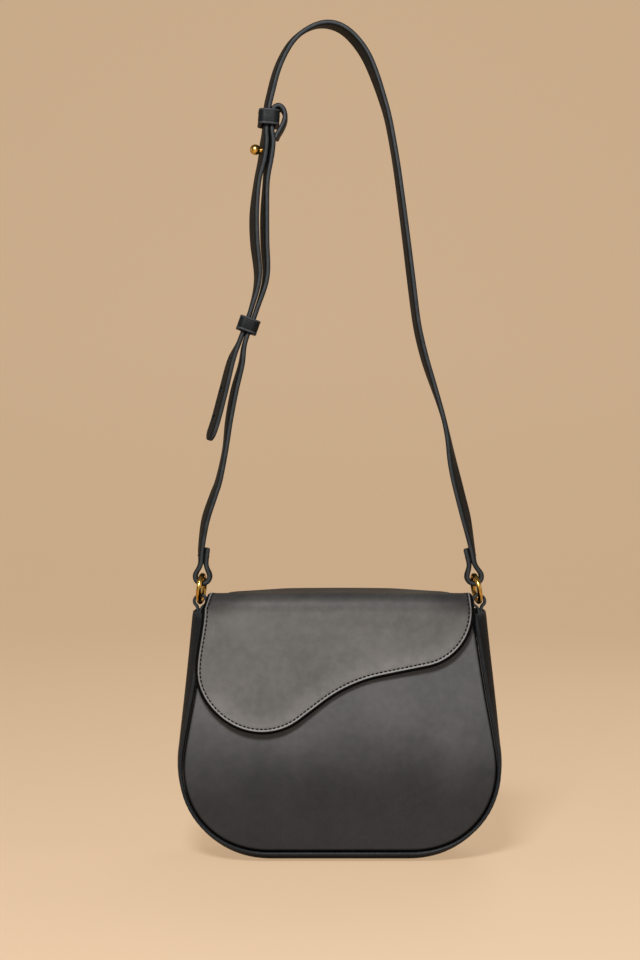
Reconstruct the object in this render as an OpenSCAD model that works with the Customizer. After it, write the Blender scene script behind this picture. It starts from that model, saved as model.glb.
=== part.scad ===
// Saddle handbag: a leather bag with a wavy front flap, brass rings and an adjustable strap.
// Millimetres, +X to the right, +Y to the back, +Z up, standing on z = 0.

/* [Body] */
// Width across the seams where the bag is widest
seam_w = 219; // [200:1:250]
// Height of the mouth's edge above the surface that the bag stands on
mouth_z = 175; // [165:1:200]
// Radius of the lower corners at the seam
corner_r = 62.5; // [50:0.5:70]
// Inward lean of the sides, in degrees
side_lean = 9; // [4:1:12]
// Depth between the outer faces of the panels at the seams
depth = 70; // [56:1:90]
// Thickness of the panel leather
panel_t = 2.2; // [1.6:0.1:3]
// How far the middle of each panel stands out
panel_crown = 3; // [1:0.5:6]
// Diameter of the covered piping in the seams
welt_d = 3.2; // [2.4:0.2:4.4]
// Thickness of the gusset leather
gusset_t = 2; // [1.4:0.1:3]
// How far the gusset stands out from the seams at the sides
side_bulge = 5; // [4:0.2:10]
// How far the gusset stands out below the seams
base_bulge = 7; // [6:0.5:12]
// How much further it stands out round the lower corners
corner_bulge = 1.4; // [0:0.1:3]
// How far the gusset stands out at the mouth
mouth_bulge = 10.3; // [7:0.1:12]
// How much lower the gusset's two ends are than the panels
gusset_dip = 3.5; // [0:0.5:6]

/* [Flap] */
// Thickness of the flap leather
flap_t = 1.6; // [1.2:0.1:2.4]
// Thickness of the flap lining
flap_lining_t = 0.9; // [0.6:0.1:1.4]
// Outer radius of the flap's back and front folds
fold_r = 10; // [6:0.5:12]
// Height of the fold lines above the mouth's edge
fold_rise = 2; // [1:0.5:6]
// Half width of the flap along the front fold
flap_front_half = 93; // [84:1:94]
// Half width of the flap at the front of its top
flap_top_half = 92; // [80:1:93]
// Room between the flap's waist and the middle of each tab's hole
waist_room = 13.4; // [12:0.2:20]
// Half width of the flap on the back panel
flap_back_half = 87; // [76:1:90]
// Height of the strip that is sewn to the back panel
flap_back_h = 28; // [18:1:60]
// How much higher the middle of the flap lies than its ends
flap_arch = 1.5; // [0:0.5:5]
// Radius of the big lobe at the left
lobe_r = 44; // [36:1:48]
// Distance of the lobe's centre from the middle of the bag
lobe_x = 54; // [44:1:56]
// Depth of the lobe's centre below the front fold
lobe_drop = 43; // [36:1:52]
// Radius of the small corner at the right
shelf_r = 40; // [30:1:42]
// Distance of the small corner's centre from the middle of the bag
shelf_x = 53; // [46:1:54]
// Slope of the edge between the lobe and the shelf, in degrees
step_slope = 37; // [28:1:44]
// Slope of the shelf, in degrees
shelf_slope = 11.5; // [6:0.5:18]
// Radius of the hollow between the slope and the shelf
waist_r = 100; // [60:5:110]

/* [Snap] */
// Diameter of the magnetic snap
snap_d = 14; // [12:0.5:18]
// Height of the socket
socket_h = 2; // [1.6:0.1:3]
// Thickness of the stud's plate
stud_plate_t = 0.8; // [0.6:0.1:1.2]
// Thickness of the backing washers
washer_t = 0.4; // [0.3:0.1:0.5]
// Diameter of the stud's nose
nose_d = 5; // [3.5:0.1:5.6]

/* [Inside] */
// Thickness of the lining cloth
lining_t = 0.9; // [0.5:0.1:1.4]
// Height of the leather facings inside the mouth
facing_h = 24; // [16:1:36]
// Thickness of the facings
facing_t = 1.2; // [0.8:0.1:1.8]
// Width of the slip pocket
pocket_w = 120; // [80:1:140]
// Height of the slip pocket
pocket_h = 84; // [60:1:95]
// Thickness of the slip pocket
pocket_t = 1; // [0.6:0.1:1.6]
// Depth of the base board, front to back
board_d = 42; // [30:1:50]
// Thickness of the base board
board_t = 1.6; // [1:0.1:2.4]

/* [Rings and tabs] */
// Outer diameter of the rings
ring_d = 22.6; // [18:0.2:26]
// Thickness of the ring wire
wire_d = 3.6; // [2.6:0.1:3.8]
// Inward lean of the left ring, in degrees
ring_lean_left = 5; // [0:0.5:8]
// Inward lean of the right ring, in degrees
ring_lean_right = 10; // [0:0.5:11]
// Turn of the rings about the upright, front edge outwards, in degrees
ring_yaw = 8; // [0:0.5:9]
// Thickness of the tab leather
tab_t = 1.8; // [1.4:0.1:2.4]
// Width of the tabs
tab_w = 9; // [7:0.5:9.5]
// Length of the tab ends sewn inside the gusset
tab_tail = 15; // [10:1:22]

/* [Strap] */
// Thickness of the strap
strap_t = 3.5; // [2.6:0.1:3.8]
// Width of the strap
strap_w = 16; // [13:0.5:20]
// Width of the strap's ends where they go through the rings
eye_w = 9.5; // [7:0.5:10]
// Height of the strap's highest point above the rings' centres
strap_rise = 402.5; // [360:0.5:460]
// Distance from the ring wire to where the folded end meets the strap
neck_len = 9; // [8:0.5:13]
// Length of the folded end above that
fold_end_len = 11.5; // [8:0.5:14]
// Width of the keepers
keeper_w = 15; // [14:0.5:18]
// Thickness of the keeper leather
keeper_t = 2.6; // [1.8:0.1:2.8]
// Length of the upper keeper along the strap
keeper_top_len = 12; // [9:0.5:14]
// Length of the lower keeper along the strap
keeper_lower_len = 10; // [8:0.5:14]
// Way that the lower keeper slides, up or down
keeper_travel = 6; // [3:0.5:8]
// Diameter of the ball stud
ball_d = 7.6; // [6:0.2:9]
// Diameter of the stud's neck
stud_neck_d = 3.6; // [2.8:0.1:4]
// Diameter of the stud's flange and of the screw's head
stud_flange_d = 8; // [6:0.2:10]
// Thickness of the stud's flange
stud_flange_t = 1.5; // [1:0.1:2]
// Diameter of the holes in the strap's tail
strap_hole_d = 4.6; // [4.2:0.1:5.4]
// Number of spare holes in the strap's tail
spare_holes = 3; // [0:1:3]

/* [Hidden] */
$fn = 48;

leather = "#3a3a3b";
strap_leather = "#34383b";
cloth = "#4a4038";
board = "#8a7a60";
brass = "#d6a763";
steel = "#9a9c9e";

// Hair gap between pieces that are sewn or screwed together
sewn_gap = 0.1;
// Gap between leather and its lining, which the washers of the snap fill
interlining = 0.8;
// Room between the lining and the leather behind it or the pocket before it
lining_gap = 0.4;
// Gap at the flap's fold lines
fold_gap = 0.4;
// Gap between two straps that lie side by side
strap_gap = 0.4;
// Clearance of the ring wire in the strap's ends and in the tabs
wire_clear = 1.6;
// How far the wire's curve shifts the eyes towards the ring's centre
eye_shift = 0.75;
// Overrun of cuts
over = 1;

corner_steps = 11;
side_steps = 4;
mouth_steps = 6;
welt_sides = 8;
corner_x = seam_w / 2 - corner_r;
corner_z = base_bulge + corner_r;
panel_mid = [0, (base_bulge + mouth_z) / 2];
welt_inset_share = 0.31;
welt_y = depth / 2 - welt_d * welt_inset_share;
gusset_top = mouth_z - gusset_dip;
gusset_half = welt_y - welt_d / 2 - sewn_gap;
panel_inset = welt_d / 2 + sewn_gap;

// Vectors

function mix(a, b, t) = a + (b - a) * t;
function unit(v) = v / norm(v);
function reversed(list) = [for (k = [len(list) - 1 : -1 : 0]) list[k]];
function total(list, k = 0) = k == len(list) - 1 ? list[k] : list[k] + total(list, k + 1);
function middle(list) = total(list) / len(list);

// Solids swept through rings of points: the ends are closed by a fan round their middle, or by a ladder
// between the two long sides of a thin section

function band_faces(i, m) = [
    for (k = [0 : m - 1])
        let (a = i * m + k, b = i * m + (k + 1) % m)
            each [[a, b, b + m], [a, b + m, a + m]]
];
function sides(n, m) = [for (i = [0 : n - 2]) each band_faces(i, m)];
function ladder(first, m) = [
    for (k = [0 : m / 2 - 2])
        let (a = first + k, b = first + m - 1 - k)
            each [[a, b, a + 1], [a + 1, b, b - 1]]
];
function fan(first, m, apex) = [for (k = [0 : m - 1]) [first + (k + 1) % m, first + k, apex]];
function flipped(faces) = [for (f = faces) reversed(f)];
function six_volumes(p, faces) = total([for (f = faces) p[f[0]] * cross(p[f[1]], p[f[2]])]);

module closed(points, faces) polyhedron(points, six_volumes(points, faces) < 0 ? faces : flipped(faces));

module tube(rings) {
    n = len(rings);
    m = len(rings[0]);
    closed([for (r = rings) each r], concat(sides(n, m), ladder(0, m), flipped(ladder((n - 1) * m, m))));
}

module shell(rings) {
    n = len(rings);
    m = len(rings[0]);
    closed(
        concat([for (r = rings) each r], [middle(rings[0]), middle(rings[n - 1])]),
        concat(sides(n, m), fan(0, m, n * m), flipped(fan((n - 1) * m, m, n * m + 1)))
    );
}

// Smooth curve through points of any kind

function spline_point(p, i, t) =
    let (a = p[max(i - 1, 0)], b = p[i], c = p[i + 1], d = p[min(i + 2, len(p) - 1)])
    (2 * b + (c - a) * t + (2 * a - 5 * b + 4 * c - d) * t * t + (3 * b - a - 3 * c + d) * t * t * t) / 2;
function spline(p, steps) = concat(
    [for (i = [0 : len(p) - 2], k = [0 : steps - 1]) spline_point(p, i, k / steps)],
    [p[len(p) - 1]]
);

// The seam, as stations of [x, z, direction outwards, bulge of the gusset, share of the base]

function side_len(top_z) = (top_z - corner_z - corner_r * sin(side_lean)) / cos(side_lean);
function corner_station(t) =
    let (
        a = mix(-90, side_lean, t),
        bulge = mix(base_bulge, side_bulge, t * t * (3 - 2 * t)) + corner_bulge * pow(sin(180 * pow(t, 0.7)), 2)
    )
    [corner_x + corner_r * cos(a), corner_z + corner_r * sin(a), a, bulge, 1 - t];
function side_station(l) =
    let (start = corner_station(1), up = l / side_len(mouth_z))
    [start[0] - l * sin(side_lean), start[1] + l * cos(side_lean), side_lean,
     mix(side_bulge, mouth_bulge, up), 0];
function right_seam(top_z) = concat(
    [for (k = [0 : corner_steps]) corner_station(k / corner_steps)],
    [for (k = [1 : side_steps]) side_station(side_len(top_z) * k / side_steps)]
);
function mirrored(q) = [-q[0], q[1], 180 - q[2], q[3], q[4]];
function seam(top_z) =
    let (right = right_seam(top_z))
    concat([for (q = reversed(right)) mirrored(q)], right);
function shifted(q, n) = [q[0] + n * cos(q[2]), q[1] + n * sin(q[2])];

// A closed outline inside the seam, with its straight edge along the mouth

function inside_seam(top_z, inset) =
    let (side = [for (q = seam(top_z)) shifted(q, -inset)], a = side[len(side) - 1], b = side[0])
    concat(side, [for (k = [1 : mouth_steps - 1]) mix(a, b, k / mouth_steps)]);

// Shares of the way from the middle of the panel to its seam and to its mouth, and its outer face there

seam_stations = seam(mouth_z);
function seam_share(p) =
    let (v = p - panel_mid)
    max([for (q = seam_stations)
        let (n = [cos(q[2]), sin(q[2])])
            (v * n) / (([q[0], q[1]] - panel_mid) * n)]);
function mouth_share(p) = max(0, (p[1] - panel_mid[1]) / (mouth_z - panel_mid[1]));
function hump(share) = 1 - pow(min(1, share), 2);
function panel_face(p) = depth / 2 + panel_crown * hump(seam_share(p)) * hump(mouth_share(p));

// A sheet that follows a panel's face: side is -1 in front and 1 behind, lift is the way from the
// panel's face to the sheet's inner face, and bead is how far its edge stands out

function sheet_ring(side, outline, mid, share, height) = [
    for (q = outline)
        let (p = mix(mid, q, share))
            [p[0], side * (panel_face(p) + height), p[1]]
];
function sheet_rings(side, outline, lift, t, shares, bead) =
    let (mid = middle(outline), rim_share = shares[len(shares) - 1])
    concat(
        [for (s = shares) sheet_ring(side, outline, mid, s, lift + t)],
        bead > 0 ? [sheet_ring(side, outline, mid, mix(rim_share, 1, 0.5), lift + t + bead)] : [],
        [sheet_ring(side, outline, mid, 1, lift + t / 2)],
        [for (s = reversed(shares)) sheet_ring(side, outline, mid, s, lift)]
    );
module sheet(side, outline, lift, t, shares, bead = 0) shell(sheet_rings(side, outline, lift, t, shares, bead));
fine_shares = [0.3, 0.6, 0.82, 0.97];
plain_shares = [0.4, 0.75, 0.985];

// Gusset strips: a flat middle, wider under the base, with round shoulders

shoulder_shares = [0, 0.3, 0.55, 0.8, 1];
side_flat_share = 0.18;
base_flat_share = 0.56;
side_round = 2.2;
base_round = 2.4;

function bulge_share(u, base_share) =
    let (
        flat = mix(side_flat_share, base_flat_share, base_share),
        v = max(0, (abs(u) - flat) / (1 - flat))
    )
    1 - pow(v, mix(side_round, base_round, base_share));
function gusset_face(q, u) = gusset_t / 2 + (q[3] - gusset_t / 2) * bulge_share(u, q[4]);
function gusset_us(q) =
    let (
        flat = mix(side_flat_share, base_flat_share, q[4]),
        half = [for (s = shoulder_shares) mix(flat, 1, s)]
    )
    concat([for (u = reversed(half)) -u], half);
function gusset_ring(q, inset, t, half_share) =
    let (us = [for (u = gusset_us(q)) u * half_share])
    concat(
        [for (u = us) let (p = shifted(q, gusset_face(q, u) - inset)) [p[0], u * gusset_half, p[1]]],
        [for (u = reversed(us))
            let (p = shifted(q, gusset_face(q, u) - inset - t)) [p[0], u * gusset_half, p[1]]]
    );
module gusset_strip(top_z, inset, t, half_share)
    tube([for (q = seam(top_z)) gusset_ring(q, inset, t, half_share)]);

module welt(side) {
    tube([
        for (q = seam_stations) [
            for (k = [0 : welt_sides - 1])
                let (a = 360 * k / welt_sides, p = shifted(q, welt_d / 2 * cos(a)))
                    [p[0], side * welt_y + welt_d / 2 * sin(a), p[1]]
        ]
    ]);
}

// Where the tabs and the rings sit

ring_r = (ring_d - wire_d) / 2;
eye_hole_r = wire_d / 2 + wire_clear;
tab_rise = tab_t * 0.75 + eye_hole_r;
tab_hole_z = mouth_z + tab_rise;
function gusset_inner(q) = shifted(q, q[3] - gusset_t);
gusset_stations = seam(gusset_top);
mouth_inner = gusset_inner(gusset_stations[len(gusset_stations) - 1]);
below_inner = gusset_inner(gusset_stations[len(gusset_stations) - 2]);
tab_slope = atan2(below_inner[0] - mouth_inner[0], mouth_inner[1] - below_inner[1]);
tab_x = mouth_inner[0] - (tab_t + 2 * sewn_gap) / cos(tab_slope) - (tab_hole_z - mouth_inner[1]) * tan(tab_slope);
ring_z = tab_hole_z - eye_shift + ring_r;

// Flap

flap_waist_half = tab_x - waist_room;
flap_stack = flap_t + interlining + flap_lining_t;
snap_stack = 3 * sewn_gap + socket_h + stud_plate_t;
fold_z = mouth_z + fold_rise;
front_fold_y = depth / 2 + snap_stack + flap_stack;
back_fold_y = depth / 2 + 2 * sewn_gap + flap_stack;
flap_bead = 0.5;
lining_inset = 2.5;
lobe_mid = [-lobe_x, fold_z - lobe_drop];
shelf_mid = [shelf_x, fold_z - fold_rise];

function on_circle(mid, r, a) = mid + r * [cos(a), sin(a)];
function arc(mid, r, a, b, steps) = [for (k = [0 : steps]) on_circle(mid, r, mix(a, b, k / steps))];

// Where the line from a along slope a_slope meets the line from b along slope b_slope
function crossing(a, a_slope, b, b_slope) =
    let (
        d = [cos(a_slope), sin(a_slope)],
        e = [cos(b_slope), sin(b_slope)],
        t = cross(b - a, e) / cross(d, e)
    )
    a + d * t;

// The flap's front edge, from the fold down the left side, round the lobe and up to the shelf's corner
function flap_edge(inset) =
    let (
        lobe = lobe_r - inset,
        shelf = shelf_r - inset,
        top = fold_z - fold_gap / 2,
        lobe_end = on_circle(lobe_mid, lobe, step_slope - 90),
        shelf_start = on_circle(shelf_mid, shelf, shelf_slope - 90),
        waist = waist_r + inset,
        waist_point = crossing(lobe_end, step_slope, shelf_start, shelf_slope),
        reach = waist * tan((step_slope - shelf_slope) / 2),
        waist_start = waist_point - reach * [cos(step_slope), sin(step_slope)],
        waist_mid = waist_start + waist * [sin(step_slope), -cos(step_slope)]
    )
    concat(
        [[-flap_front_half + inset, top]],
        [[mix(-flap_front_half, -lobe_x - lobe_r, 0.5) + inset, mix(top, lobe_mid[1], 0.5)]],
        arc(lobe_mid, lobe, 180, 270 + step_slope, 11),
        arc(waist_mid, waist, step_slope + 90, shelf_slope + 90, 4),
        arc(shelf_mid, shelf, shelf_slope - 90, 0, 7),
        [[flap_front_half - inset, top]],
        [for (k = [1 : mouth_steps - 1])
            [mix(flap_front_half - inset, -flap_front_half + inset, k / mouth_steps), top]]
    );

// The flap's top as stations across the bag: [y, z, direction outwards, half width, weight of the arch]
function fold_station(y, a, half) = [y + fold_r * cos(a), fold_z + fold_r * sin(a), a, half, sin(a)];
fold_steps = 5;
back_fold_mid = back_fold_y - fold_r;
front_fold_mid = -(front_fold_y - fold_r);
top_stations = concat(
    [for (k = [0 : fold_steps])
        fold_station(back_fold_mid, 90 * k / fold_steps, mix(flap_back_half, flap_waist_half, k / fold_steps))],
    [for (t = [0.25, 0.5, 0.75])
        fold_station(mix(back_fold_mid, front_fold_mid, t), 90, mix(flap_waist_half, flap_top_half, pow(t, 6)))],
    [for (k = [0 : fold_steps])
        fold_station(front_fold_mid, 90 + 90 * k / fold_steps,
            mix(flap_top_half, flap_front_half, pow(k / fold_steps, 2)))]
);
across_shares = [-1, -0.95, -0.6, -0.2, 0.2, 0.6, 0.95, 1];
function top_point(q, share, depth_in, inset) =
    let (
        x = share * (q[3] - inset),
        rise = flap_arch * q[4] * (0.25 - share * share),
        y = q[0] - depth_in * cos(q[2])
    )
    [x, y, q[1] - depth_in * sin(q[2]) + rise];
function top_ring(q, outer, inner, inset) = concat(
    [for (s = across_shares) top_point(q, s, outer + (abs(s) == 1 ? (inner - outer) / 2 : 0), inset)],
    [for (s = reversed(across_shares)) if (abs(s) < 1) top_point(q, s, inner, inset)]
);
// The fold gap is taken from the two end stations
function trimmed(q) = q[4] > 0.001 ? q : [q[0], q[1] + fold_gap / 2, q[2], q[3], q[4]];
module top_sheet(outer, inner, inset)
    shell([for (q = top_stations) top_ring(trimmed(q), outer, inner, inset)]);

back_strip_z = fold_z - fold_gap / 2 - flap_back_h;
function back_strip() =
    let (
        top = fold_z - fold_gap / 2,
        r = flap_back_h / 2,
        half = flap_back_half
    )
    concat(
        [[-half, top]],
        arc([r - half, back_strip_z + r], r, 180, 270, 4),
        [for (k = [1 : mouth_steps - 1]) [mix(r - half, half - r, k / mouth_steps), back_strip_z]],
        arc([half - r, back_strip_z + r], r, 270, 360, 4),
        [[half, top]],
        [for (k = [1 : mouth_steps - 1]) [mix(half, -half, k / mouth_steps), top]]
    );

// The bag stands in the middle of its own depth, so the body lies a little behind the origin
flap_lift = snap_stack + flap_stack - flap_t;
front_rings = sheet_rings(-1, flap_edge(0), flap_lift, flap_t, fine_shares, flap_bead);
back_rings = sheet_rings(1, back_strip(), 2 * sewn_gap, flap_stack, plain_shares, 0);
front_y = min([for (r = front_rings, p = r) p[1]]);
back_y = max([for (r = back_rings, p = r) p[1]]);
mid_y = -(front_y + back_y) / 2;

module in_place(colour) translate([0, mid_y, 0]) color(colour) children();

// Magnetic snap, square to the panel's face through the lobe

snap_share = [0.14, -0.36];
snap_at = lobe_mid + lobe_r * snap_share;
snap_slope_x = (panel_face(snap_at + [snap_d / 2, 0]) - panel_face(snap_at - [snap_d / 2, 0])) / snap_d;
snap_slope_z = (panel_face(snap_at + [0, snap_d / 2]) - panel_face(snap_at - [0, snap_d / 2])) / snap_d;
socket_wall = 0.7;
magnet_t = 1;
nose_clear = 0.35;
nose_len = 1.5;
washer_bore = 4;

// Frame of the snap: its z points out of the panel and starts on the panel's face
module on_snap()
    translate([snap_at[0], -panel_face(snap_at), snap_at[1]])
        rotate([0, 0, -atan(snap_slope_x)])
            rotate([90 + atan(snap_slope_z), 0, 0])
                children();

module washer(h, t, d, bore_d)
    translate([0, 0, h])
        difference() {
            cylinder(h = t, d = d);
            translate([0, 0, -over]) cylinder(h = t + 2 * over, d = bore_d);
        }

// Rings and tabs

function ring_x(lean) = tab_x - ring_r * sin(lean);

module ring_at(side, lean)
    translate([side * ring_x(lean), 0, ring_z])
        rotate([0, 0, side * ring_yaw])
            rotate([0, 90 - side * lean, 0])
                rotate_extrude() translate([ring_r, 0]) circle(d = wire_d);

tab_drop = tab_hole_z - gusset_top + tab_tail;
module tab(side)
    translate([side * tab_x, tab_w / 2, tab_hole_z])
        rotate([90, 0, 0])
            linear_extrude(tab_w)
                difference() {
                    union() {
                        circle(r = eye_hole_r + tab_t);
                        rotate(side * tab_slope)
                            translate([-tab_t, -tab_drop])
                                square([2 * tab_t, tab_drop]);
                    }
                    circle(r = eye_hole_r);
                }

// Strap routes, in the plane of the rings: points are [x, z, twist in degrees, width], x from the middle
// and z from the rings' centres; the front edge turns inwards by the twist

span = tab_x;
keeper_twist = 4;
beside = (strap_t + strap_gap) / 2;
stud_beside = (strap_t + stud_flange_t) / 2 + sewn_gap;
neck_lean_right = 10;
neck_lean_left = 3;
neck_twist = 12;

// Right leg and arch, as shares of the span and of the strap's rise, with the twist
arch_shares = [
    [0.925, 0.113, 13], [0.84, 0.193, 13], [0.74, 0.299, 9], [0.687, 0.352, 5], [0.611, 0.405, 6],
    [0.558, 0.459, 10], [0.529, 0.512, 12], [0.475, 0.618, 9], [0.422, 0.725, 6], [0.347, 0.831, 3],
    [0.286, 0.885, 0], [0.204, 0.938, 0], [0.082, 0.977, 0], [-0.103, 1, 0], [-0.26, 0.984, 0],
    [-0.347, 0.966, 1], [-0.428, 0.938, 2], [-0.493, 0.887, 4]
];
// The long strap between the stud and the lower keeper, and its tail
long_mid_shares = [[-0.59, 0.7205, 8], [-0.612, 0.666, 10], [-0.608, 0.616, 10], [-0.586, 0.5516, 8]];
tail_shares = [[-0.776, 0.4055, 8], [-0.832, 0.352, 10], [-0.885, 0.302, 10], [-0.926, 0.271, 10]];
// The short strap between the stud and the lower keeper, and its leg
short_mid_shares = [[-0.527, 0.7205, 8], [-0.537, 0.666, 10], [-0.536, 0.616, 10], [-0.529, 0.5516, 8]];
leg_shares = [
    [-0.705, 0.3975, 6], [-0.753, 0.352, 7], [-0.793, 0.299, 8], [-0.821, 0.2457, 9], [-0.866, 0.1925, 14],
    [-0.903, 0.166, 17], [-0.962, 0.1215, 17]
];
// Middles of the keepers and of the stud, with the lean of the strap there
keeper_top_share = [-0.508, 0.8335];
keeper_top_lean = 3.6;
keeper_lower_share = [-0.656, 0.467];
keeper_lower_lean = 19.7;
stud_share = [-0.523, 0.776];
stud_lean = 7;
// The folded end round the upper keeper, in shares of its half width and half length
keeper_fold_shares = [
    [0.83, -2.38], [0.93, -1.92], [1.23, -1.2], [1.45, -0.53], [1.56, 0.17],
    [1.47, 0.82], [1.23, 1.27], [0.91, 1.47], [0.56, 1.37], [0.33, 1.08]
];

function on_span(share) = [share[0] * span, share[1] * strap_rise];
function routed(shares) = [for (s = shares) [s[0] * span, s[1] * strap_rise, s[2], strap_w]];
// A point beside a place on the strap: up along it and right across it
function beside_strap(at, lean, right, up) =
    [at[0] + right * cos(lean) + up * sin(lean), at[1] - right * sin(lean) + up * cos(lean), keeper_twist, strap_w];

keeper_top_at = on_span(keeper_top_share);
keeper_lower_at = on_span(keeper_lower_share);
stud_at = on_span(stud_share);
keeper_top_run = keeper_top_len / 2 + beside;
keeper_lower_run = keeper_lower_len / 2 + keeper_travel + beside / 2;
stud_run = stud_flange_d * 0.75;

// The end of a strap round the right ring, from the folded end to the strap itself
eye_r = eye_hole_r + strap_t / 2;
eye_z = ring_r - eye_shift;
eye_steps = 8;
function eye_point(x, lean, out, up) =
    [x + out * cos(lean) - up * sin(lean), eye_z + out * sin(lean) + up * cos(lean)];
function eye_route(x, lean) =
    let (
        top = neck_len + fold_end_len,
        end_w = mix(eye_w, strap_w, 0.4),
        neck_w = mix(eye_w, strap_w, 0.2)
    )
    concat(
        [concat(eye_point(x, lean, -beside, top), [-neck_twist, end_w])],
        [concat(eye_point(x, lean, -beside, neck_len), [-neck_twist / 2, neck_w])],
        [for (k = [0 : eye_steps])
            let (a = mix(155, 385, k / eye_steps))
                concat(eye_point(x, lean, eye_r * cos(a), eye_r * sin(a)), [0, eye_w])],
        [concat(eye_point(x, lean, beside, neck_len), [neck_twist / 2, neck_w])],
        [concat(eye_point(x, lean, beside, top), [neck_twist, end_w])]
    );
right_eye = eye_route(ring_x(ring_lean_right) - ring_r * sin(ring_lean_right), neck_lean_right);
left_eye = [for (q = reversed(eye_route(ring_x(ring_lean_left) - ring_r * sin(ring_lean_left), neck_lean_left)))
    [-q[0], q[1], q[2], q[3]]];

tail_end = on_span(tail_shares[len(tail_shares) - 1]);
tail_before = on_span(tail_shares[len(tail_shares) - 2]);
tip_len = strap_w * 0.22;
tail_tip = concat(tail_end + unit(tail_end - tail_before) * tip_len, [10, strap_w * 0.35]);

long_route = concat(
    right_eye,
    spline(concat(
        [right_eye[len(right_eye) - 1]],
        routed(arch_shares),
        [for (s = [1, -1]) beside_strap(keeper_top_at, keeper_top_lean, -beside, s * keeper_top_run)],
        [for (s = [1, -1]) beside_strap(stud_at, stud_lean, -stud_beside, s * stud_run)],
        routed(long_mid_shares),
        [for (s = [1, -1]) beside_strap(keeper_lower_at, keeper_lower_lean, -beside, s * keeper_lower_run)],
        routed(tail_shares)
    ), 2),
    [tail_tip]
);
short_route = concat(
    spline(concat(
        [for (f = keeper_fold_shares)
            concat(
                [for (k = [0, 1])
                    beside_strap(keeper_top_at, keeper_top_lean, f[0] * keeper_w / 2,
                        f[1] * keeper_top_len / 2)[k]],
                [0, strap_w]
            )],
        [for (up = [keeper_top_len * 0.3, -keeper_top_run])
            beside_strap(keeper_top_at, keeper_top_lean, beside, up)],
        [for (s = [1, -1]) beside_strap(stud_at, stud_lean, stud_beside, s * stud_run)],
        routed(short_mid_shares),
        [for (s = [1, -1]) beside_strap(keeper_lower_at, keeper_lower_lean, beside, s * keeper_lower_run)],
        routed(leg_shares),
        [left_eye[0]]
    ), 2),
    [for (k = [1 : len(left_eye) - 1]) left_eye[k]]
);

// Cross section of a strap, with eased edges
strap_ease = 0.7;
function strap_section(w) =
    let (a = strap_t / 2, b = w / 2, e = strap_ease)
    [[a, b - e], [a, e - b], [a - e, -b], [e - a, -b], [-a, e - b], [-a, b - e], [e - a, b], [a - e, b]];
function strap_ring(route, i) =
    let (
        q = route[i],
        before = route[max(i - 1, 0)],
        after = route[min(i + 1, len(route) - 1)],
        along = unit([after[0] - before[0], after[1] - before[1]]),
        out = [along[1], -along[0]]
    )
    [for (c = strap_section(q[3]))
        let (a = c[0] * cos(q[2]) + c[1] * sin(q[2]), b = c[1] * cos(q[2]) - c[0] * sin(q[2]))
            [q[0] + a * out[0], b, ring_z + q[1] + a * out[1]]];
module strap(route) tube([for (i = [0 : len(route) - 1]) strap_ring(route, i)]);

// Frame of a piece on the strap: its z up along the strap, its x across it towards the right
module on_strap(at, lean, twist = keeper_twist)
    translate([at[0], 0, ring_z + at[1]]) rotate([0, lean, 0]) rotate([0, 0, twist]) children();

round_steps = 5;
function rounded_box(w, d, r) = concat(
    arc([w / 2 - r, d / 2 - r], r, 0, 90, round_steps),
    arc([r - w / 2, d / 2 - r], r, 90, 180, round_steps),
    arc([r - w / 2, r - d / 2], r, 180, 270, round_steps),
    arc([w / 2 - r, r - d / 2], r, 270, 360, round_steps)
);
keeper_inner_d = strap_w + 3 * strap_gap;
keeper_round = keeper_w * 0.3;
module keeper(length)
    translate([0, 0, -length / 2])
        linear_extrude(length)
            difference() {
                polygon(rounded_box(keeper_w, keeper_inner_d + 2 * keeper_t, keeper_round));
                polygon(rounded_box(keeper_w - 2 * keeper_t, keeper_inner_d, keeper_round - keeper_t));
            }

// A hole through a strap at a place beside it, along the strap's own cross direction
module strap_hole(at, lean, d, twist = keeper_twist)
    on_strap(at, lean, twist) rotate([0, 90, 0]) cylinder(h = 2 * strap_t, d = d, center = true);

spare_hole_shares = [tail_shares[0], tail_shares[1], tail_shares[2]];
tail_lean = atan2(tail_before[0] - tail_end[0], tail_before[1] - tail_end[1]);
screw_d = 2.8;
screw_head_t = 1.2;

// Sub-parts

module front_panel() in_place(leather) sheet(-1, inside_seam(mouth_z, panel_inset), -panel_t, panel_t, fine_shares);

module back_panel() in_place(leather) sheet(1, inside_seam(mouth_z, panel_inset), -panel_t, panel_t, fine_shares);

module gusset() in_place(leather) gusset_strip(gusset_top, 0, gusset_t, 1);

module front_welt() in_place(leather) welt(-1);

module back_welt() in_place(leather) welt(1);

lining_top = mouth_z - facing_h;
lining_lift = -panel_t - interlining - lining_t;

module lining_front()
    in_place(cloth)
        sheet(-1, inside_seam(lining_top, panel_inset), lining_lift, lining_t, fine_shares);

module lining_back()
    in_place(cloth)
        sheet(1, inside_seam(lining_top, panel_inset), lining_lift, lining_t, fine_shares);

gusset_lining_share = (depth / 2 + lining_lift - 4 * sewn_gap) / gusset_half;
module lining_gusset()
    in_place(cloth) gusset_strip(lining_top, gusset_t + lining_gap, lining_t, gusset_lining_share);

// A facing is the strip of panel between the lining's top and the mouth
facing_lift = -panel_t - 2 * sewn_gap - facing_t;
function facing_outline() =
    let (
        low = shifted(side_station(side_len(lining_top + sewn_gap)), -panel_inset),
        high = shifted(side_station(side_len(mouth_z)), -panel_inset)
    )
    concat(
        [for (k = [0 : mouth_steps]) [mix(-low[0], low[0], k / mouth_steps), low[1]]],
        [for (k = [0 : mouth_steps]) [mix(high[0], -high[0], k / mouth_steps), high[1]]]
    );

module facing_front() in_place(leather) sheet(-1, facing_outline(), facing_lift, facing_t, plain_shares);

module facing_back() in_place(leather) sheet(1, facing_outline(), facing_lift, facing_t, plain_shares);

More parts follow.
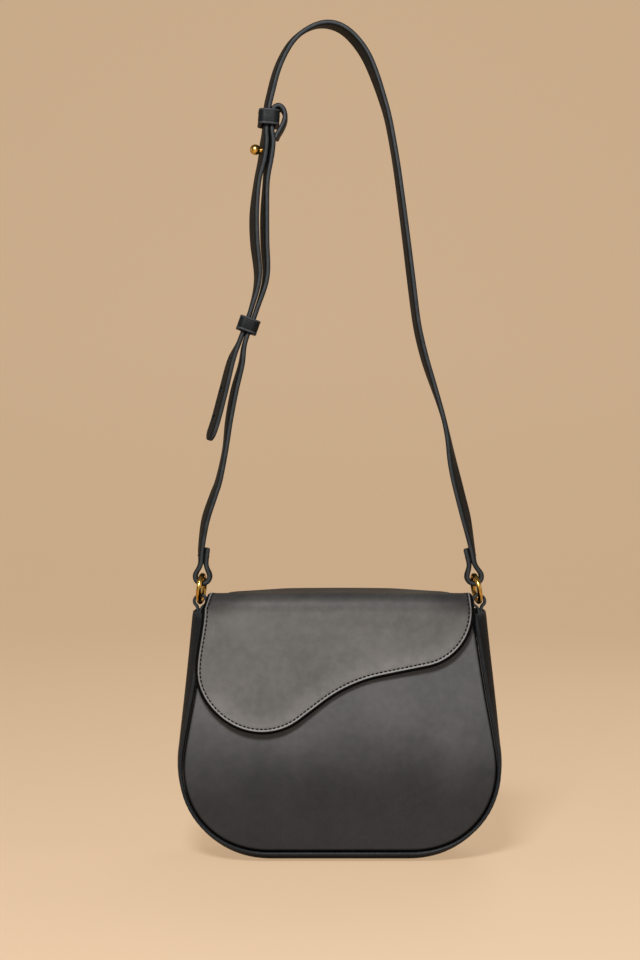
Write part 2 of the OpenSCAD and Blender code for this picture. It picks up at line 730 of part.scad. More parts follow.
pocket_r = pocket_h / 6;
pocket_top = lining_top - pocket_r / 2;
module slip_pocket()
    in_place(leather)
        sheet(1, [for (p = rounded_box(pocket_w, pocket_h, pocket_r)) p + [0, pocket_top - pocket_h / 2]],
            lining_lift - lining_gap - pocket_t, pocket_t, plain_shares);

// The board rests on the lining at its front and back edges
board_w = 2 * corner_x;
base_station = corner_station(0);
board_edge = gusset_face(base_station, board_d / 2 / gusset_half) - gusset_t - lining_gap - lining_t;
board_z = base_bulge - board_edge + 2 * sewn_gap;
module base_board()
    in_place(board)
        translate([-board_w / 2, -board_d / 2, board_z]) cube([board_w, board_d, board_t]);

module tab_left() in_place(leather) tab(-1);

module tab_right() in_place(leather) tab(1);

module ring_left() in_place(brass) ring_at(-1, ring_lean_left);

module ring_right() in_place(brass) ring_at(1, ring_lean_right);

module strap_long()
    in_place(strap_leather)
        difference() {
            strap(long_route);
            strap_hole(beside_strap(stud_at, stud_lean, -stud_beside, 0), stud_lean, strap_hole_d);
            if (spare_holes > 0)
                for (k = [0 : spare_holes - 1])
                    strap_hole(on_span(spare_hole_shares[k]), tail_lean, strap_hole_d, spare_hole_shares[k][2]);
        }

module strap_short()
    in_place(strap_leather)
        difference() {
            strap(short_route);
            strap_hole(beside_strap(stud_at, stud_lean, stud_beside, 0), stud_lean, screw_d + 2 * sewn_gap);
        }

module keeper_top() in_place(strap_leather) on_strap(keeper_top_at, keeper_top_lean) keeper(keeper_top_len);

module keeper_lower() in_place(strap_leather) on_strap(keeper_lower_at, keeper_lower_lean) keeper(keeper_lower_len);

// The stud's ball stands outside the long strap, its flange lies between the two straps
neck_len_x = stud_flange_t / 2 + strap_t + 2 * sewn_gap + strap_gap;
ball_x = neck_len_x + sqrt(pow(ball_d / 2, 2) - pow(stud_neck_d / 2, 2));
module ball_stud()
    in_place(brass)
        on_strap(stud_at, stud_lean)
            rotate([0, -90, 0])
                difference() {
                    union() {
                        translate([0, 0, -stud_flange_t / 2]) cylinder(h = stud_flange_t, d = stud_flange_d);
                        cylinder(h = ball_x, d = stud_neck_d);
                        translate([0, 0, ball_x]) sphere(d = ball_d);
                    }
                    translate([0, 0, -stud_flange_t / 2 - over])
                        cylinder(h = over + stud_flange_t + strap_t / 2, d = screw_d);
                }

// The screw comes from the other face of the short strap
module stud_screw()
    in_place(brass)
        on_strap(stud_at, stud_lean)
            rotate([0, 90, 0]) {
                translate([0, 0, stud_flange_t / 2 + strap_t + 2 * sewn_gap + sewn_gap])
                    cylinder(h = screw_head_t, d = stud_flange_d);
                translate([0, 0, -strap_t / 2])
                    cylinder(h = stud_flange_t / 2 + 3 * strap_t / 2 + 3 * sewn_gap + screw_head_t / 2,
                        d = screw_d - 2 * sewn_gap);
            }

module flap_back() in_place(leather) shell(back_rings);

module flap_top() in_place(leather) top_sheet(0, flap_t, 0);

module flap_top_lining() in_place(cloth) top_sheet(flap_t + interlining, flap_stack, lining_inset);

module flap_front() in_place(leather) shell(front_rings);

module flap_front_lining()
    in_place(cloth) sheet(-1, flap_edge(lining_inset), snap_stack, flap_lining_t, fine_shares);

// Socket: a brass cup with the magnet inside and a bore for the stud's nose
socket_bore = nose_d + 2 * nose_clear;
module snap_socket()
    in_place(brass)
        on_snap()
            difference() {
                washer(sewn_gap, socket_h, snap_d, socket_bore);
                cylinder(h = 2 * sewn_gap + magnet_t, d = snap_d - 2 * socket_wall);
            }

module snap_magnet()
    in_place(steel) on_snap() washer(sewn_gap, magnet_t, snap_d - 2 * socket_wall - 2 * sewn_gap, socket_bore);

module snap_socket_washer()
    in_place(steel) on_snap() washer(-panel_t - 2 * sewn_gap - washer_t, washer_t, snap_d, washer_bore);

module snap_stud()
    in_place(brass)
        on_snap()
            translate([0, 0, snap_stack - sewn_gap - stud_plate_t]) {
                cylinder(h = stud_plate_t, d = snap_d);
                translate([0, 0, -nose_len]) cylinder(h = nose_len + stud_plate_t / 2, d = nose_d);
            }

module snap_stud_washer()
    in_place(steel) on_snap() washer(snap_stack + flap_lining_t + 2 * sewn_gap, washer_t, snap_d, washer_bore);

front_panel();
back_panel();
gusset();
front_welt();
back_welt();
lining_front();
lining_back();
lining_gusset();
facing_front();
facing_back();
slip_pocket();
base_board();
tab_left();
tab_right();
ring_left();
ring_right();
strap_long();
strap_short();
keeper_top();
keeper_lower();
ball_stud();
stud_screw();
flap_back();
flap_top();
flap_top_lining();
flap_front();
flap_front_lining();
snap_socket();
snap_magnet();
snap_socket_washer();
snap_stud();
snap_stud_washer();
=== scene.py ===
"""Looks of the saddle handbag: detailed leather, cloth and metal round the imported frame.
Lengths are millimetres until a mesh is made; the camera, the stage, the lights and the frame are in metres."""
import math

import bpy
import numpy as np
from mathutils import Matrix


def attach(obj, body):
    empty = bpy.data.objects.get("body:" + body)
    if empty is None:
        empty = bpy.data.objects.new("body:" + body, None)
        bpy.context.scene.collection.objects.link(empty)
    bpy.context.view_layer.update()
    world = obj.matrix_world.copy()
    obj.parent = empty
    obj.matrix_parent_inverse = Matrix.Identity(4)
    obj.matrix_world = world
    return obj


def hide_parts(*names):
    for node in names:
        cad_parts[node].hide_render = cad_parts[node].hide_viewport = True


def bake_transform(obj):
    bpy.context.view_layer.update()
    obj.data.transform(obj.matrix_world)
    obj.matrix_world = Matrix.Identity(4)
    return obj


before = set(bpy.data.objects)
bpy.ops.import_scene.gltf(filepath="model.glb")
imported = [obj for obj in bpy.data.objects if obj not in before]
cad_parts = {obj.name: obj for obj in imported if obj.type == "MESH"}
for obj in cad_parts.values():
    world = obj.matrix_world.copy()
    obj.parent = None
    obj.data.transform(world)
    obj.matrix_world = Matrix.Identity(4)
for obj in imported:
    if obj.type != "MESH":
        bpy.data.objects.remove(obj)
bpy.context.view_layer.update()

MM = 0.001


def added(name, data):
    obj = bpy.data.objects.new(name, data)
    bpy.context.scene.collection.objects.link(obj)
    return obj


# ---- camera

camera = added("camera", bpy.data.cameras.new("camera"))
camera.data.lens, camera.data.sensor_width = 68.25, 36
camera.location = (-0.0139, -1.2977, 0.266)
camera.rotation_euler = (math.radians(90), 0, 0)
bpy.context.scene.camera = camera

# ---- sizes, as the solids have them

MID_Y = 2.30506  # the body lies this far behind the origin
SEAM_HALF, CORNER_R, LEAN = 109.5, 62.5, 9.0
MOUTH_Z, BASE_BULGE, SIDE_BULGE, CORNER_BULGE, MOUTH_BULGE = 175.0, 7.0, 5.0, 1.4, 10.3
CORNER_X, CORNER_Z = SEAM_HALF - CORNER_R, BASE_BULGE + CORNER_R
HALF_DEPTH, CROWN = 35.0, 3.0
PANEL_T, PANEL_INSET, GUSSET_T, GUSSET_TOP = 2.2, 1.7, 2.0, 171.5
WELT_R = 1.6
WELT_Y = HALF_DEPTH - 0.31 * 2 * WELT_R
GUSSET_HALF = WELT_Y - WELT_R - 0.1
LINING_T, LINING_TOP, LINING_ROOM, LINING_GAP = 0.9, 151.0, 0.8, 0.4
LINING_LIFT = -PANEL_T - LINING_ROOM - LINING_T
FACING_T, FACING_GAP = 1.2, 0.2
FACING_LIFT = -PANEL_T - FACING_GAP - FACING_T
POCKET_W, POCKET_H, POCKET_T = 120.0, 84.0, 1.0
FLAP_T, FLAP_STACK, SNAP_STACK = 1.6, 3.3, 3.1
FLAP_LIFT = SNAP_STACK + FLAP_STACK - FLAP_T
FOLD_R, FOLD_Z = 10.0, 177.0
BACK_FOLD_Y, FRONT_FOLD_Y = 38.5, 41.4
LOBE_R, LOBE = 44.0, np.array([-54.0, FOLD_Z - 43.0])
SHELF_R, SHELF = 40.0, np.array([53.0, FOLD_Z - 2.0])
STEP_SLOPE, SHELF_SLOPE, WAIST_R = 37.0, 11.5, 100.0
FRONT_HALF, TOP_HALF, WAIST_HALF, BACK_HALF, BACK_H = 93.0, 92.0, 86.0, 87.0, 28.0
ARCH = 1.5

# ---- sizes of the looks alone

SIDES = (("front", -1), ("back", 1))
PANEL_MID = np.array([0.0, 91.0])
SEAM_OUT_LEAST, SEAM_OUT_MOST, SEAM_OUT_FADE = 0.9, 3.3, 45
CORNER_EASE, EASE_W = 2.2, 6
EDGE_TURN, EDGE_DROP = 2.3, 1.5  # how far in from their edges the panels turn, and how far down
TOP_ROW_Z, LOW_ROW_Z, ROW_POINTS, ROW_PITCH = 171.6, 153.5, 90, 3.4
FULLER = 2.5  # the left side of the flap stands out this much more than the solid's
LINING_IN, LINING_DEEP = 2.5, 2.4  # the flap linings lie this far in from the edge and under the leather's face
STITCH_IN, STITCH_SINK, BACK_STITCH_SINK = 3.7, 0.36, 0.3
PEBBLES = 1500  # leather's grain, to the metre


def mix(a, b, t):
    return a + (b - a) * t


def smooth(t):
    t = np.clip(t, 0, 1)
    return t * t * (3 - 2 * t)


def direction(degrees):
    return np.array([math.cos(math.radians(degrees)), math.sin(math.radians(degrees))])


def circle(mid, r, degrees):
    a = np.radians(degrees)
    return np.array([mid[0] + r * np.cos(a), mid[1] + r * np.sin(a)]).T


def unit(rows):
    return rows / np.linalg.norm(rows, axis=1)[:, None]


def run_along(points):
    """Distance of each point from the first one, along the line."""
    return np.concatenate([[0], np.cumsum(np.linalg.norm(np.diff(points, axis=0), axis=1))])


# ---- the seam and the panels

LEAN_COS, LEAN_SIN = direction(LEAN)


def side_len(top_z):
    return (top_z - CORNER_Z - CORNER_R * LEAN_SIN) / LEAN_COS


def seam(top_z, base=12, corner=30, side=18):
    """Stations round the seam from the left mouth to the right one: x, z, direction, bulge, share of the base.
    At the corners the seam lies further out than the solids' and the gusset's bulge is lower by as much."""
    right = [(CORNER_X * k / base, BASE_BULGE, -90.0, BASE_BULGE, 1.0, SEAM_OUT_LEAST) for k in range(base)]
    for k in range(corner + 1):
        t = k / corner
        a = mix(-90.0, LEAN, t)
        bulge = mix(BASE_BULGE, SIDE_BULGE, smooth(t)) + CORNER_BULGE * math.sin(math.pi * t**0.7) ** 2
        out = mix(SEAM_OUT_LEAST, SEAM_OUT_MOST, math.sin(math.pi * t) ** 1.5)
        right.append((*circle((CORNER_X, CORNER_Z), CORNER_R, a), a, bulge, 1 - t, out))
    x0, z0 = right[-1][:2]
    for k in range(1, side + 1):
        d = side_len(top_z) * k / side
        bulge = mix(SIDE_BULGE, MOUTH_BULGE, d / side_len(MOUTH_Z))
        out = SEAM_OUT_LEAST * (1 - smooth(d / SEAM_OUT_FADE))
        right.append((x0 - d * LEAN_SIN, z0 + d * LEAN_COS, LEAN, bulge, 0.0, out))
    q = np.array([(-x, z, 180 - a, b, s, m) for x, z, a, b, s, m in reversed(right[1:])] + right)
    q[:, :2] += outward(q) * q[:, 5:]
    q[:, 3] -= q[:, 5]
    return q[:, :5]


def outward(q):
    return np.array([np.cos(np.radians(q[:, 2])), np.sin(np.radians(q[:, 2]))]).T


SEAM = seam(MOUTH_Z)
SEAM_OUT = outward(SEAM)
SEAM_FAR = ((SEAM[:, :2] - PANEL_MID) * SEAM_OUT).sum(1)


def hump(share):
    return 1 - np.minimum(1, share) ** 2


def seam_share(p):
    """0 at the middle of a panel and 1 at its seam."""
    return ((p - PANEL_MID) @ SEAM_OUT.T / SEAM_FAR).max(1)


def panel_face(p):
    """Distance of a panel's outer face from the middle of the bag, at points x, z."""
    up = np.maximum(0, (p[:, 1] - PANEL_MID[1]) / (MOUTH_Z - PANEL_MID[1]))
    return HALF_DEPTH + CROWN * hump(seam_share(p)) * hump(up)


def slack(p, seed, size):
    """Soft hollows and swellings of leather that has been carried, in mm, fading out at the seams."""
    rng = np.random.default_rng(seed)
    total = np.zeros(len(p))
    for _ in range(7):
        at = rng.uniform((-85, 25), (85, 160))
        r = rng.uniform(26, 48)
        total += rng.uniform(-1, 1) * np.exp(-((p - at) ** 2).sum(1) / (2 * r * r))
    return size * total * hump(seam_share(p)) * smooth((MOUTH_Z - p[:, 1]) / 14)


def eased(outline, corner, ease):
    """The outline with its two top corners cut down by ease."""
    drop = ease * np.clip((np.abs(outline[:, 0]) - corner[0] + EASE_W) / EASE_W, 0, 1) ** 2
    outline[:, 1] -= np.where(outline[:, 1] > corner[1] - 0.01, drop, 0)
    return outline


def panel_outline(top_z, inset, across=44, ease=0.0):
    """Outline of a sheet against a panel, from the left mouth round the seam and back along the mouth."""
    q = seam(top_z)
    side = q[:, :2] - inset * outward(q)
    top = [mix(side[-1], side[0], k / across) for k in range(1, across)]
    return eased(np.vstack([side, top]), side[-1], ease)


# ---- meshes


def make_object(name, verts, faces, material, marks=None, sharp=55):
    """A smooth mesh with its edges over sharp degrees left sharp; marks are values at the points for the material."""
    mesh = bpy.data.meshes.new(name)
    v = np.array(verts, float) * MM
    v[:, 1] += MID_Y * MM
    mesh.from_pydata(v.tolist(), [], [list(map(int, f)) for f in faces])
    mesh.validate()
    for key, values in (marks or {}).items():
        mesh.attributes.new(key, "FLOAT", "POINT").data.foreach_set("value", np.asarray(values, np.float32))
    mesh.polygons.foreach_set("use_smooth", [True] * len(mesh.polygons))
    mesh.set_sharp_from_angle(angle=math.radians(sharp))
    mesh.materials.append(material)
    return added(name, mesh)


def rings_faces(n, m, closed=True, start=0):
    """Quads between n rings of m points."""
    last = m if closed else m - 1
    pairs = [(start + i * m + k, start + i * m + (k + 1) % m) for i in range(n - 1) for k in range(last)]
    return [(a, b, b + m, a + m) for a, b in pairs]


def tube_faces(n, m, start=0):
    """The same with both ends closed by one face each."""
    ends = [tuple(start + k for k in reversed(range(m))), tuple(start + (n - 1) * m + k for k in range(m))]
    return rings_faces(n, m, start=start) + ends


def polar(outlines, mid, shares):
    """Rings of plane points, first the given outlines from the edge inwards, then shares of the last one.
    Returns points and faces that face -y when the outline runs anticlockwise seen from the front."""
    rings = list(outlines) + [mix(mid, outlines[-1], s) for s in shares]
    m = len(rings[0])
    points = np.vstack(rings + [[mid]])
    first = (len(rings) - 1) * m
    fan = [(first + k, first + (k + 1) % m, len(points) - 1) for k in range(m)]
    return points, rings_faces(len(rings), m) + fan


def edge_directions(verts, faces):
    """Border edges, as they run in their faces, and the way out of the sheet at each border point."""
    seen = {edge: f for f in faces for edge in zip(f, tuple(f[1:]) + (f[0],))}
    border = [(a, b) for (a, b) in seen if (b, a) not in seen]
    out = {}
    for a, b in border:
        p = [verts[i] for i in seen[(a, b)]]
        n = np.zeros(3)
        for i in range(len(p)):
            n += np.cross(p[i], p[(i + 1) % len(p)])
        d = np.cross(verts[b] - verts[a], n)
        d /= np.linalg.norm(d) + 1e-12
        for i in (a, b):
            out[i] = out.get(i, np.zeros(3)) + d
    return border, {i: d / (np.linalg.norm(d) + 1e-12) for i, d in out.items()}


def skin(name, outer, inner, faces, material, roundness=0.35, open_at=None, marks=None):
    """A sheet with an outer and an inner face and a rounded rim. open_at(point) leaves the rim open there."""
    outer, inner = np.asarray(outer, float), np.asarray(inner, float)
    n = len(outer)
    border, out = edge_directions(outer, faces)
    keep = [e for e in border if not (open_at and open_at(outer[e[0]]) and open_at(outer[e[1]]))]
    order = sorted({i for e in keep for i in e})
    rim = {i: 2 * n + k for k, i in enumerate(order)}
    mids = [(outer[i] + inner[i]) / 2 + out[i] * np.linalg.norm(outer[i] - inner[i]) * roundness for i in order]
    every = list(faces) + [tuple(i + n for i in reversed(f)) for f in faces]
    for a, b in keep:
        every += [(b, a, rim[a], rim[b]), (rim[b], rim[a], a + n, b + n)]
    marks = {key: np.concatenate([v, v, [v[i] for i in order]]) for key, v in (marks or {}).items()}
    return make_object(name, np.vstack([outer, inner, mids]), every, material, marks)


def on_panel(points, side, height, slack_of=None):
    """Plane points x, z put at a height over a panel's face: side is -1 in front and 1 behind."""
    y = panel_face(points) + height
    if slack_of:
        y = y + slack(points, *slack_of)
    return np.array([points[:, 0], side * y, points[:, 1]]).T


def turned(faces, side):
    return faces if side < 0 else [tuple(reversed(f)) for f in faces]


# ---- placing a piece and hiding the solids it stands for


def fitted(piece, nodes):
    if nodes:
        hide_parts(*nodes)
    return piece


def dress(piece, body, slot, *nodes):
    """The piece rides on one body and stands for the nodes."""
    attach(piece, body)
    return fitted(piece, nodes)


def on_front_fold(piece, slot, *nodes):
    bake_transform(piece)
    return fitted(piece, nodes)


def on_back_fold(piece, slot, *nodes):
    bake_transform(piece)
    return fitted(piece, nodes)


# ---- materials


def srgb(r, g, b):
    def one(c):
        c /= 255
        return c / 12.92 if c <= 0.04045 else ((c + 0.055) / 1.055) ** 2.4

    return (one(r), one(g), one(b), 1)


class Nodes:
    """A material's nodes. Wherever a value goes in, another node's output can go in too."""

    def __init__(self, name):
        self.material = bpy.data.materials.new(name)
        self.material.use_nodes = True
        self.tree = self.material.node_tree
        self.shader = self.tree.nodes["Principled BSDF"]
        self.where = self.add("ShaderNodeTexCoord").outputs["Object"]

    def put(self, socket, value):
        if isinstance(value, bpy.types.NodeSocket):
            self.tree.links.new(value, socket)
        else:
            socket.default_value = value

    def add(self, kind, **values):
        node = self.tree.nodes.new(kind)
        for key, value in values.items():
            if hasattr(node, key):
                setattr(node, key, value)
            else:
                self.put(node.inputs[key.replace("_", " ")], value)
        return node

    def look(self, **values):
        """Sets the shader's inputs and returns the material."""
        for key, value in values.items():
            self.put(self.shader.inputs[key.replace("_", " ")], value)
        return self.material

    def noise(self, scale, detail=2.0, stretch=None):
        place = self.where
        if stretch:
            place = self.add("ShaderNodeMapping", Vector=place, Scale=stretch).outputs[0]
        return self.add("ShaderNodeTexNoise", Vector=place, Scale=scale, Detail=detail).outputs["Fac"]

    def ranged(self, value, low, high, a=0.3, b=0.7, kind="LINEAR"):
        """Values from a to b turned into values from low to high."""
        ends = {"From_Min": a, "From_Max": b, "To_Min": low, "To_Max": high}
        return self.add("ShaderNodeMapRange", interpolation_type=kind, Value=value, **ends).outputs["Result"]

    def math(self, kind, a, b=0.0):
        node = self.add("ShaderNodeMath", operation=kind)
        self.put(node.inputs[0], a)
        self.put(node.inputs[1], b)
        return node.outputs[0]

    def mixed(self, factor, *colours):
        """A mix of two colours: outputs, or levels of red, green and blue from 0 to 255."""
        node = self.add("ShaderNodeMix", data_type="RGBA")
        self.put(node.inputs[0], factor)
        for socket, colour in zip(node.inputs[6:8], colours):
            self.put(socket, srgb(*colour) if isinstance(colour, tuple) else colour)
        return node.outputs[2]

    def scaled(self, colour, share):
        node = self.add("ShaderNodeVectorMath", operation="SCALE", Scale=share)
        self.put(node.inputs[0], colour)
        return node.outputs[0]

    def split(self):
        return self.add("ShaderNodeSeparateXYZ", Vector=self.where).outputs

    def mark(self, name, low, high):
        """Values from low to high as a mark of the mesh goes from 0 to 1."""
        return self.ranged(self.attribute(name), low, high, 0, 1)

    def attribute(self, name):
        return self.add("ShaderNodeAttribute", attribute_name=name).outputs["Fac"]

    def bump(self, height, strength, distance, **normal):
        return self.add("ShaderNodeBump", Height=height, Strength=strength, Distance=distance, **normal).outputs[0]


def leather(name, dark, light, rough=(0.42, 0.54), grain=0.3, edge=None, paint=None, painted_shade_below=None, top=None, gloss=0.3):
    """Fine grained leather: pebbles, pores and cloudy colour. By the mesh's marks it gets a line in the colour edge
    (a painted highlight on the flap's bead crest, partly one on the straps' edges), edge paint, a stretch of painted
    shade darkened to the share top and a stretch of painted light made paler. The argument for painted shade
    towards the bottom is two heights in metres and the share of the colour that is left below them."""
    n = Nodes(name)
    cloud, mottle = n.noise(22, 3), n.noise(190, 4)
    tone = n.math("ADD", n.math("MULTIPLY", cloud, 0.6), n.math("MULTIPLY", mottle, 0.4))
    colour = n.mixed(n.ranged(tone, 0, 1, 0.36, 0.64), dark, light)
    shine = gloss
    # painted shade: below the two heights the colour darkens towards the bottom
    if painted_shade_below:
        up = n.math("ADD", n.split()["Z"], n.math("MULTIPLY", cloud, 0.03))
        colour = n.scaled(colour, n.ranged(up, painted_shade_below[2], 1, *painted_shade_below[:2], "SMOOTHSTEP"))
    # the mark top darkens the flap over its fold, painted shade; the other mark makes it paler near its free edge,
    # painted light
    if top:
        colour = n.scaled(n.scaled(colour, n.mark("top", 1, top)), n.mark("pale", 1, 1.6))
    # the line in the colour edge: a painted highlight on the flap's bead crest, partly one on the straps' edges
    if edge:
        colour = n.mixed(n.math("MULTIPLY", n.attribute("rim"), n.ranged(mottle, 0.6, 1)), colour, edge)
    if paint:
        colour = n.mixed(n.attribute("paint"), colour, paint)
        shine = n.mark("paint", gloss, gloss * 0.1)
    # the painted shade over the fold also takes away most of the shine there
    if top:
        shine = n.math("MULTIPLY", shine, n.mark("top", 1, 0.2))
    cells = n.add("ShaderNodeTexVoronoi", feature="SMOOTH_F1", Scale=PEBBLES, Smoothness=0.6, Vector=n.where)
    height = n.math("ADD", n.math("MULTIPLY", cells.outputs["Distance"], -0.7), n.noise(PEBBLES * 2.2, 3))
    folds = n.bump(n.noise(75, 2), 0.2, 0.0004, Normal=n.bump(height, grain, 0.00012))
    return n.look(Base_Color=colour, Roughness=n.ranged(n.noise(420, 3), *rough), Normal=folds,
                  Specular_IOR_Level=shine)


def cloth(name, dark, light, pitch):
    """Plain weave, its threads pitch metres apart along the two ways of the sheet."""
    n = Nodes(name)
    turns = 2 * math.pi / pitch / 2
    x, y, z = n.split()
    across = n.math("ADD", x, n.math("MULTIPLY", y, 0.999))
    warp, weft = (n.math("SINE", n.math("MULTIPLY", way, turns)) for way in (across, z))
    weave = n.math("MULTIPLY", warp, weft)
    tone = n.math("ADD", n.math("MULTIPLY", weave, 0.18), n.noise(900, 3))
    return n.look(Base_Color=n.mixed(n.ranged(tone, 0, 1), dark, light), Normal=n.bump(weave, 0.45, 0.00012),
                  Roughness=0.85, Sheen_Weight=0.2)


def thread(name, dark, light):
    n = Nodes(name)
    twist = n.add("ShaderNodeTexWave", Scale=1100, Distortion=1.5, Vector=n.where).outputs["Fac"]
    return n.look(Base_Color=n.mixed(n.ranged(n.noise(1500, 2), 0, 1), dark, light),
                  Normal=n.bump(twist, 0.5, 0.0001), Roughness=0.7, Specular_IOR_Level=0.2)


def metal(name, dark, light, rough, scratches):
    n = Nodes(name)
    return n.look(Base_Color=n.mixed(n.ranged(n.noise(160, 3), 0, 1), dark, light),
                  Roughness=n.ranged(n.noise(260, 4), *rough),
                  Normal=n.bump(n.noise(900, 3, (1, 1, 6)), scratches, 0.00005), Metallic=1)


def stiff_board(name, dark, light):
    n = Nodes(name)
    return n.look(Base_Color=n.mixed(n.ranged(n.noise(500, 4), 0, 1), dark, light),
                  Normal=n.bump(n.noise(1400, 3), 0.4, 0.0001), Roughness=0.85)


# The flap's leather is a little lighter than the body's; that difference is partly painted sheen.
FLAP_LEATHER = leather("flap_leather", (93, 91, 89), (110, 107, 104), grain=0.45, edge=(152, 149, 146),
                       paint=(14, 14, 14), top=0.28, gloss=0.2)
# The body's leather is painted darker towards the bottom: painted shade.
BODY_LEATHER = leather("body_leather", (85, 85, 86), (98, 97, 97), grain=0.45, paint=(10, 10, 11),
                       painted_shade_below=(0.055, 0.13, 0.26))
# The gusset is painted darker near the floor: painted shade under its bulge.
GUSSET_LEATHER = leather("gusset_leather", (24, 27, 31), (34, 37, 41), edge=(44, 46, 48), painted_shade_below=(0.0, 0.03, 0.15),
                         gloss=0.06)
WELT_LEATHER = leather("welt_leather", (34, 35, 37), (46, 47, 49), rough=(0.36, 0.46), grain=0.2, gloss=0.12)
# The straps' edge paint is lighter than their faces; that difference is partly painted highlight.
STRAP_LEATHER = leather("strap_leather", (14, 16, 17), (22, 24, 25), rough=(0.45, 0.55), grain=0.25,
                        edge=(62, 64, 66), gloss=0.16)
INNER_LEATHER = leather("inner_leather", (64, 59, 55), (78, 73, 68), grain=0.25)
LINING_CLOTH = cloth("lining_cloth", (92, 80, 70), (118, 104, 92), 0.0011)
THREAD = thread("black_thread", (5, 5, 5), (13, 12, 12))
BRASS = metal("brass", (222, 166, 72), (246, 196, 104), (0.2, 0.3), 0.12)
DARK_STEEL = metal("dark_steel", (38, 38, 40), (56, 56, 58), (0.35, 0.5), 0.2)
STEEL = metal("steel", (150, 152, 154), (190, 191, 192), (0.25, 0.4), 0.2)

# ---- stitches

STITCH_SHAPE = np.array([-1, -0.82, -0.45, 0, 0.45, 0.82, 1])
STITCH_SWELL = np.array([0.3, 0.75, 1, 1.03, 1, 0.75, 0.3])
STITCH_SIDES = 6


def stitches(name, path, normals, pitch=3.0, length=2.7, radius=0.5):
    """Separate thread stitches along a line on a surface. Each one dives into the leather at its two ends."""
    run = run_along(path)
    count = max(1, int(round(run[-1] / pitch)))
    gap = run[-1] / count
    lift = radius * (0.62 - 1.25 * STITCH_SHAPE**4) - 0.05
    verts, faces = [], []
    for i in range(count):
        d = (i + 0.5) * gap + STITCH_SHAPE * length / 2
        p, n = (np.array([np.interp(d, run, rows[:, k]) for k in range(3)]).T for rows in (path, normals))
        n = unit(n)
        side = np.cross(n, unit(np.gradient(p, axis=0)))
        faces += tube_faces(len(d), STITCH_SIDES, len(verts))
        for k, swell in enumerate(STITCH_SWELL):
            for j in range(STITCH_SIDES):
                a = 2 * math.pi * j / STITCH_SIDES
                verts.append(p[k] + n[k] * (lift[k] + radius * 0.8 * swell * math.sin(a))
                             + side[k] * radius * swell * math.cos(a))
    return make_object(name, verts, faces, THREAD)


# ---- body of the bag

ROLL = [0, 0.25, 0.6, 1.05, 1.6, 2.3, 3.2, 4.4, 6.5, 10]
INNER_SHARES = [0.93, 0.84, 0.74, 0.63, 0.51, 0.39, 0.26, 0.13]


def panel(label, side, seed):
    outlines = [panel_outline(MOUTH_Z - i, PANEL_INSET + i, ease=CORNER_EASE) for i in ROLL]
    points, faces = polar(outlines, PANEL_MID, INNER_SHARES)
    m = len(outlines[0])
    depth_in = np.concatenate([np.repeat(ROLL, m), np.full(len(points) - m * len(ROLL), 20.0)])
    turn = np.clip(1 - depth_in / EDGE_TURN, 0, 1)
    drop = EDGE_DROP * (1 - np.sqrt(np.clip(1 - turn**2, 0, 1)))
    outer = on_panel(points, side, -drop, (seed, 0.9))
    inner = on_panel(points, side, -PANEL_T, (seed, 0.9))
    piece = skin(f"{label}_panel_leather", outer, inner, turned(faces, side), BODY_LEATHER,
                 marks={"paint": smooth((2.2 - depth_in) / 1.6)})
    dress(piece, "bag", "leather", f"{label}_panel")


panel("front", -1, 3)
panel("back", 1, 8)


def gusset_point(q, u, inset, half_share):
    """A point of the gusset at one station of the seam, u from -1 in front to 1 behind."""
    flat = mix(0.18, 0.56, q[4])
    v = np.maximum(0, (np.abs(u) - flat) / (1 - flat))
    bulge = 1 - v ** mix(2.2, 2.4, q[4])
    n = GUSSET_T / 2 + (q[3] - GUSSET_T / 2) * bulge - inset
    a = math.radians(q[2])
    return (q[0] + n * math.cos(a), u * half_share * GUSSET_HALF, q[1] + n * math.sin(a))


def gusset_strip(name, top_z, inset, thickness, half_share, material, slot, node, soft=0.0, roll=0.0):
    """The gusset's leather or its lining, with soft mm of ripple at the sides and its top edges rolled in."""
    stations = seam(top_z, 12, 30, 26)
    us = np.sin(np.linspace(-math.pi / 2, math.pi / 2, 31))
    rng = np.random.default_rng(5)
    waves = [[rng.uniform(*ends) for ends in ((0.02, 0.06), (1.2, 3.4), (0, 6.3), (0, 6.3))] for _ in range(5)]
    outer, inner, rims = [], [], []
    for q in stations:
        below, hand = top_z - q[1], math.copysign(1, q[0])
        size = soft * smooth((q[1] - 40) / 60)
        top = max(0.0, 1 - below / 2.0)
        drop = roll * (1 - math.sqrt(max(0.0, 1 - top * top)))
        for u in us:
            ripple = size * (1 - u * u) * sum(math.sin(f * q[1] + p + s * u * hand) for f, s, p, _ in waves)
            outer.append(gusset_point(q, u, inset + drop - ripple, half_share))
            inner.append(gusset_point(q, u, inset + thickness - ripple, half_share))
            rims.append(max(smooth(1 - below / 3.0), smooth((abs(u) - 0.93) / 0.07) * 0.5))
    faces = rings_faces(len(stations), len(us), closed=False)
    return dress(skin(name, outer, inner, faces, material, marks={"rim": rims}), "bag", slot, node)


gusset_strip("gusset_leather_strip", GUSSET_TOP, 0, GUSSET_T, 1, GUSSET_LEATHER, "leather", "gusset", 0.12, 0.2)


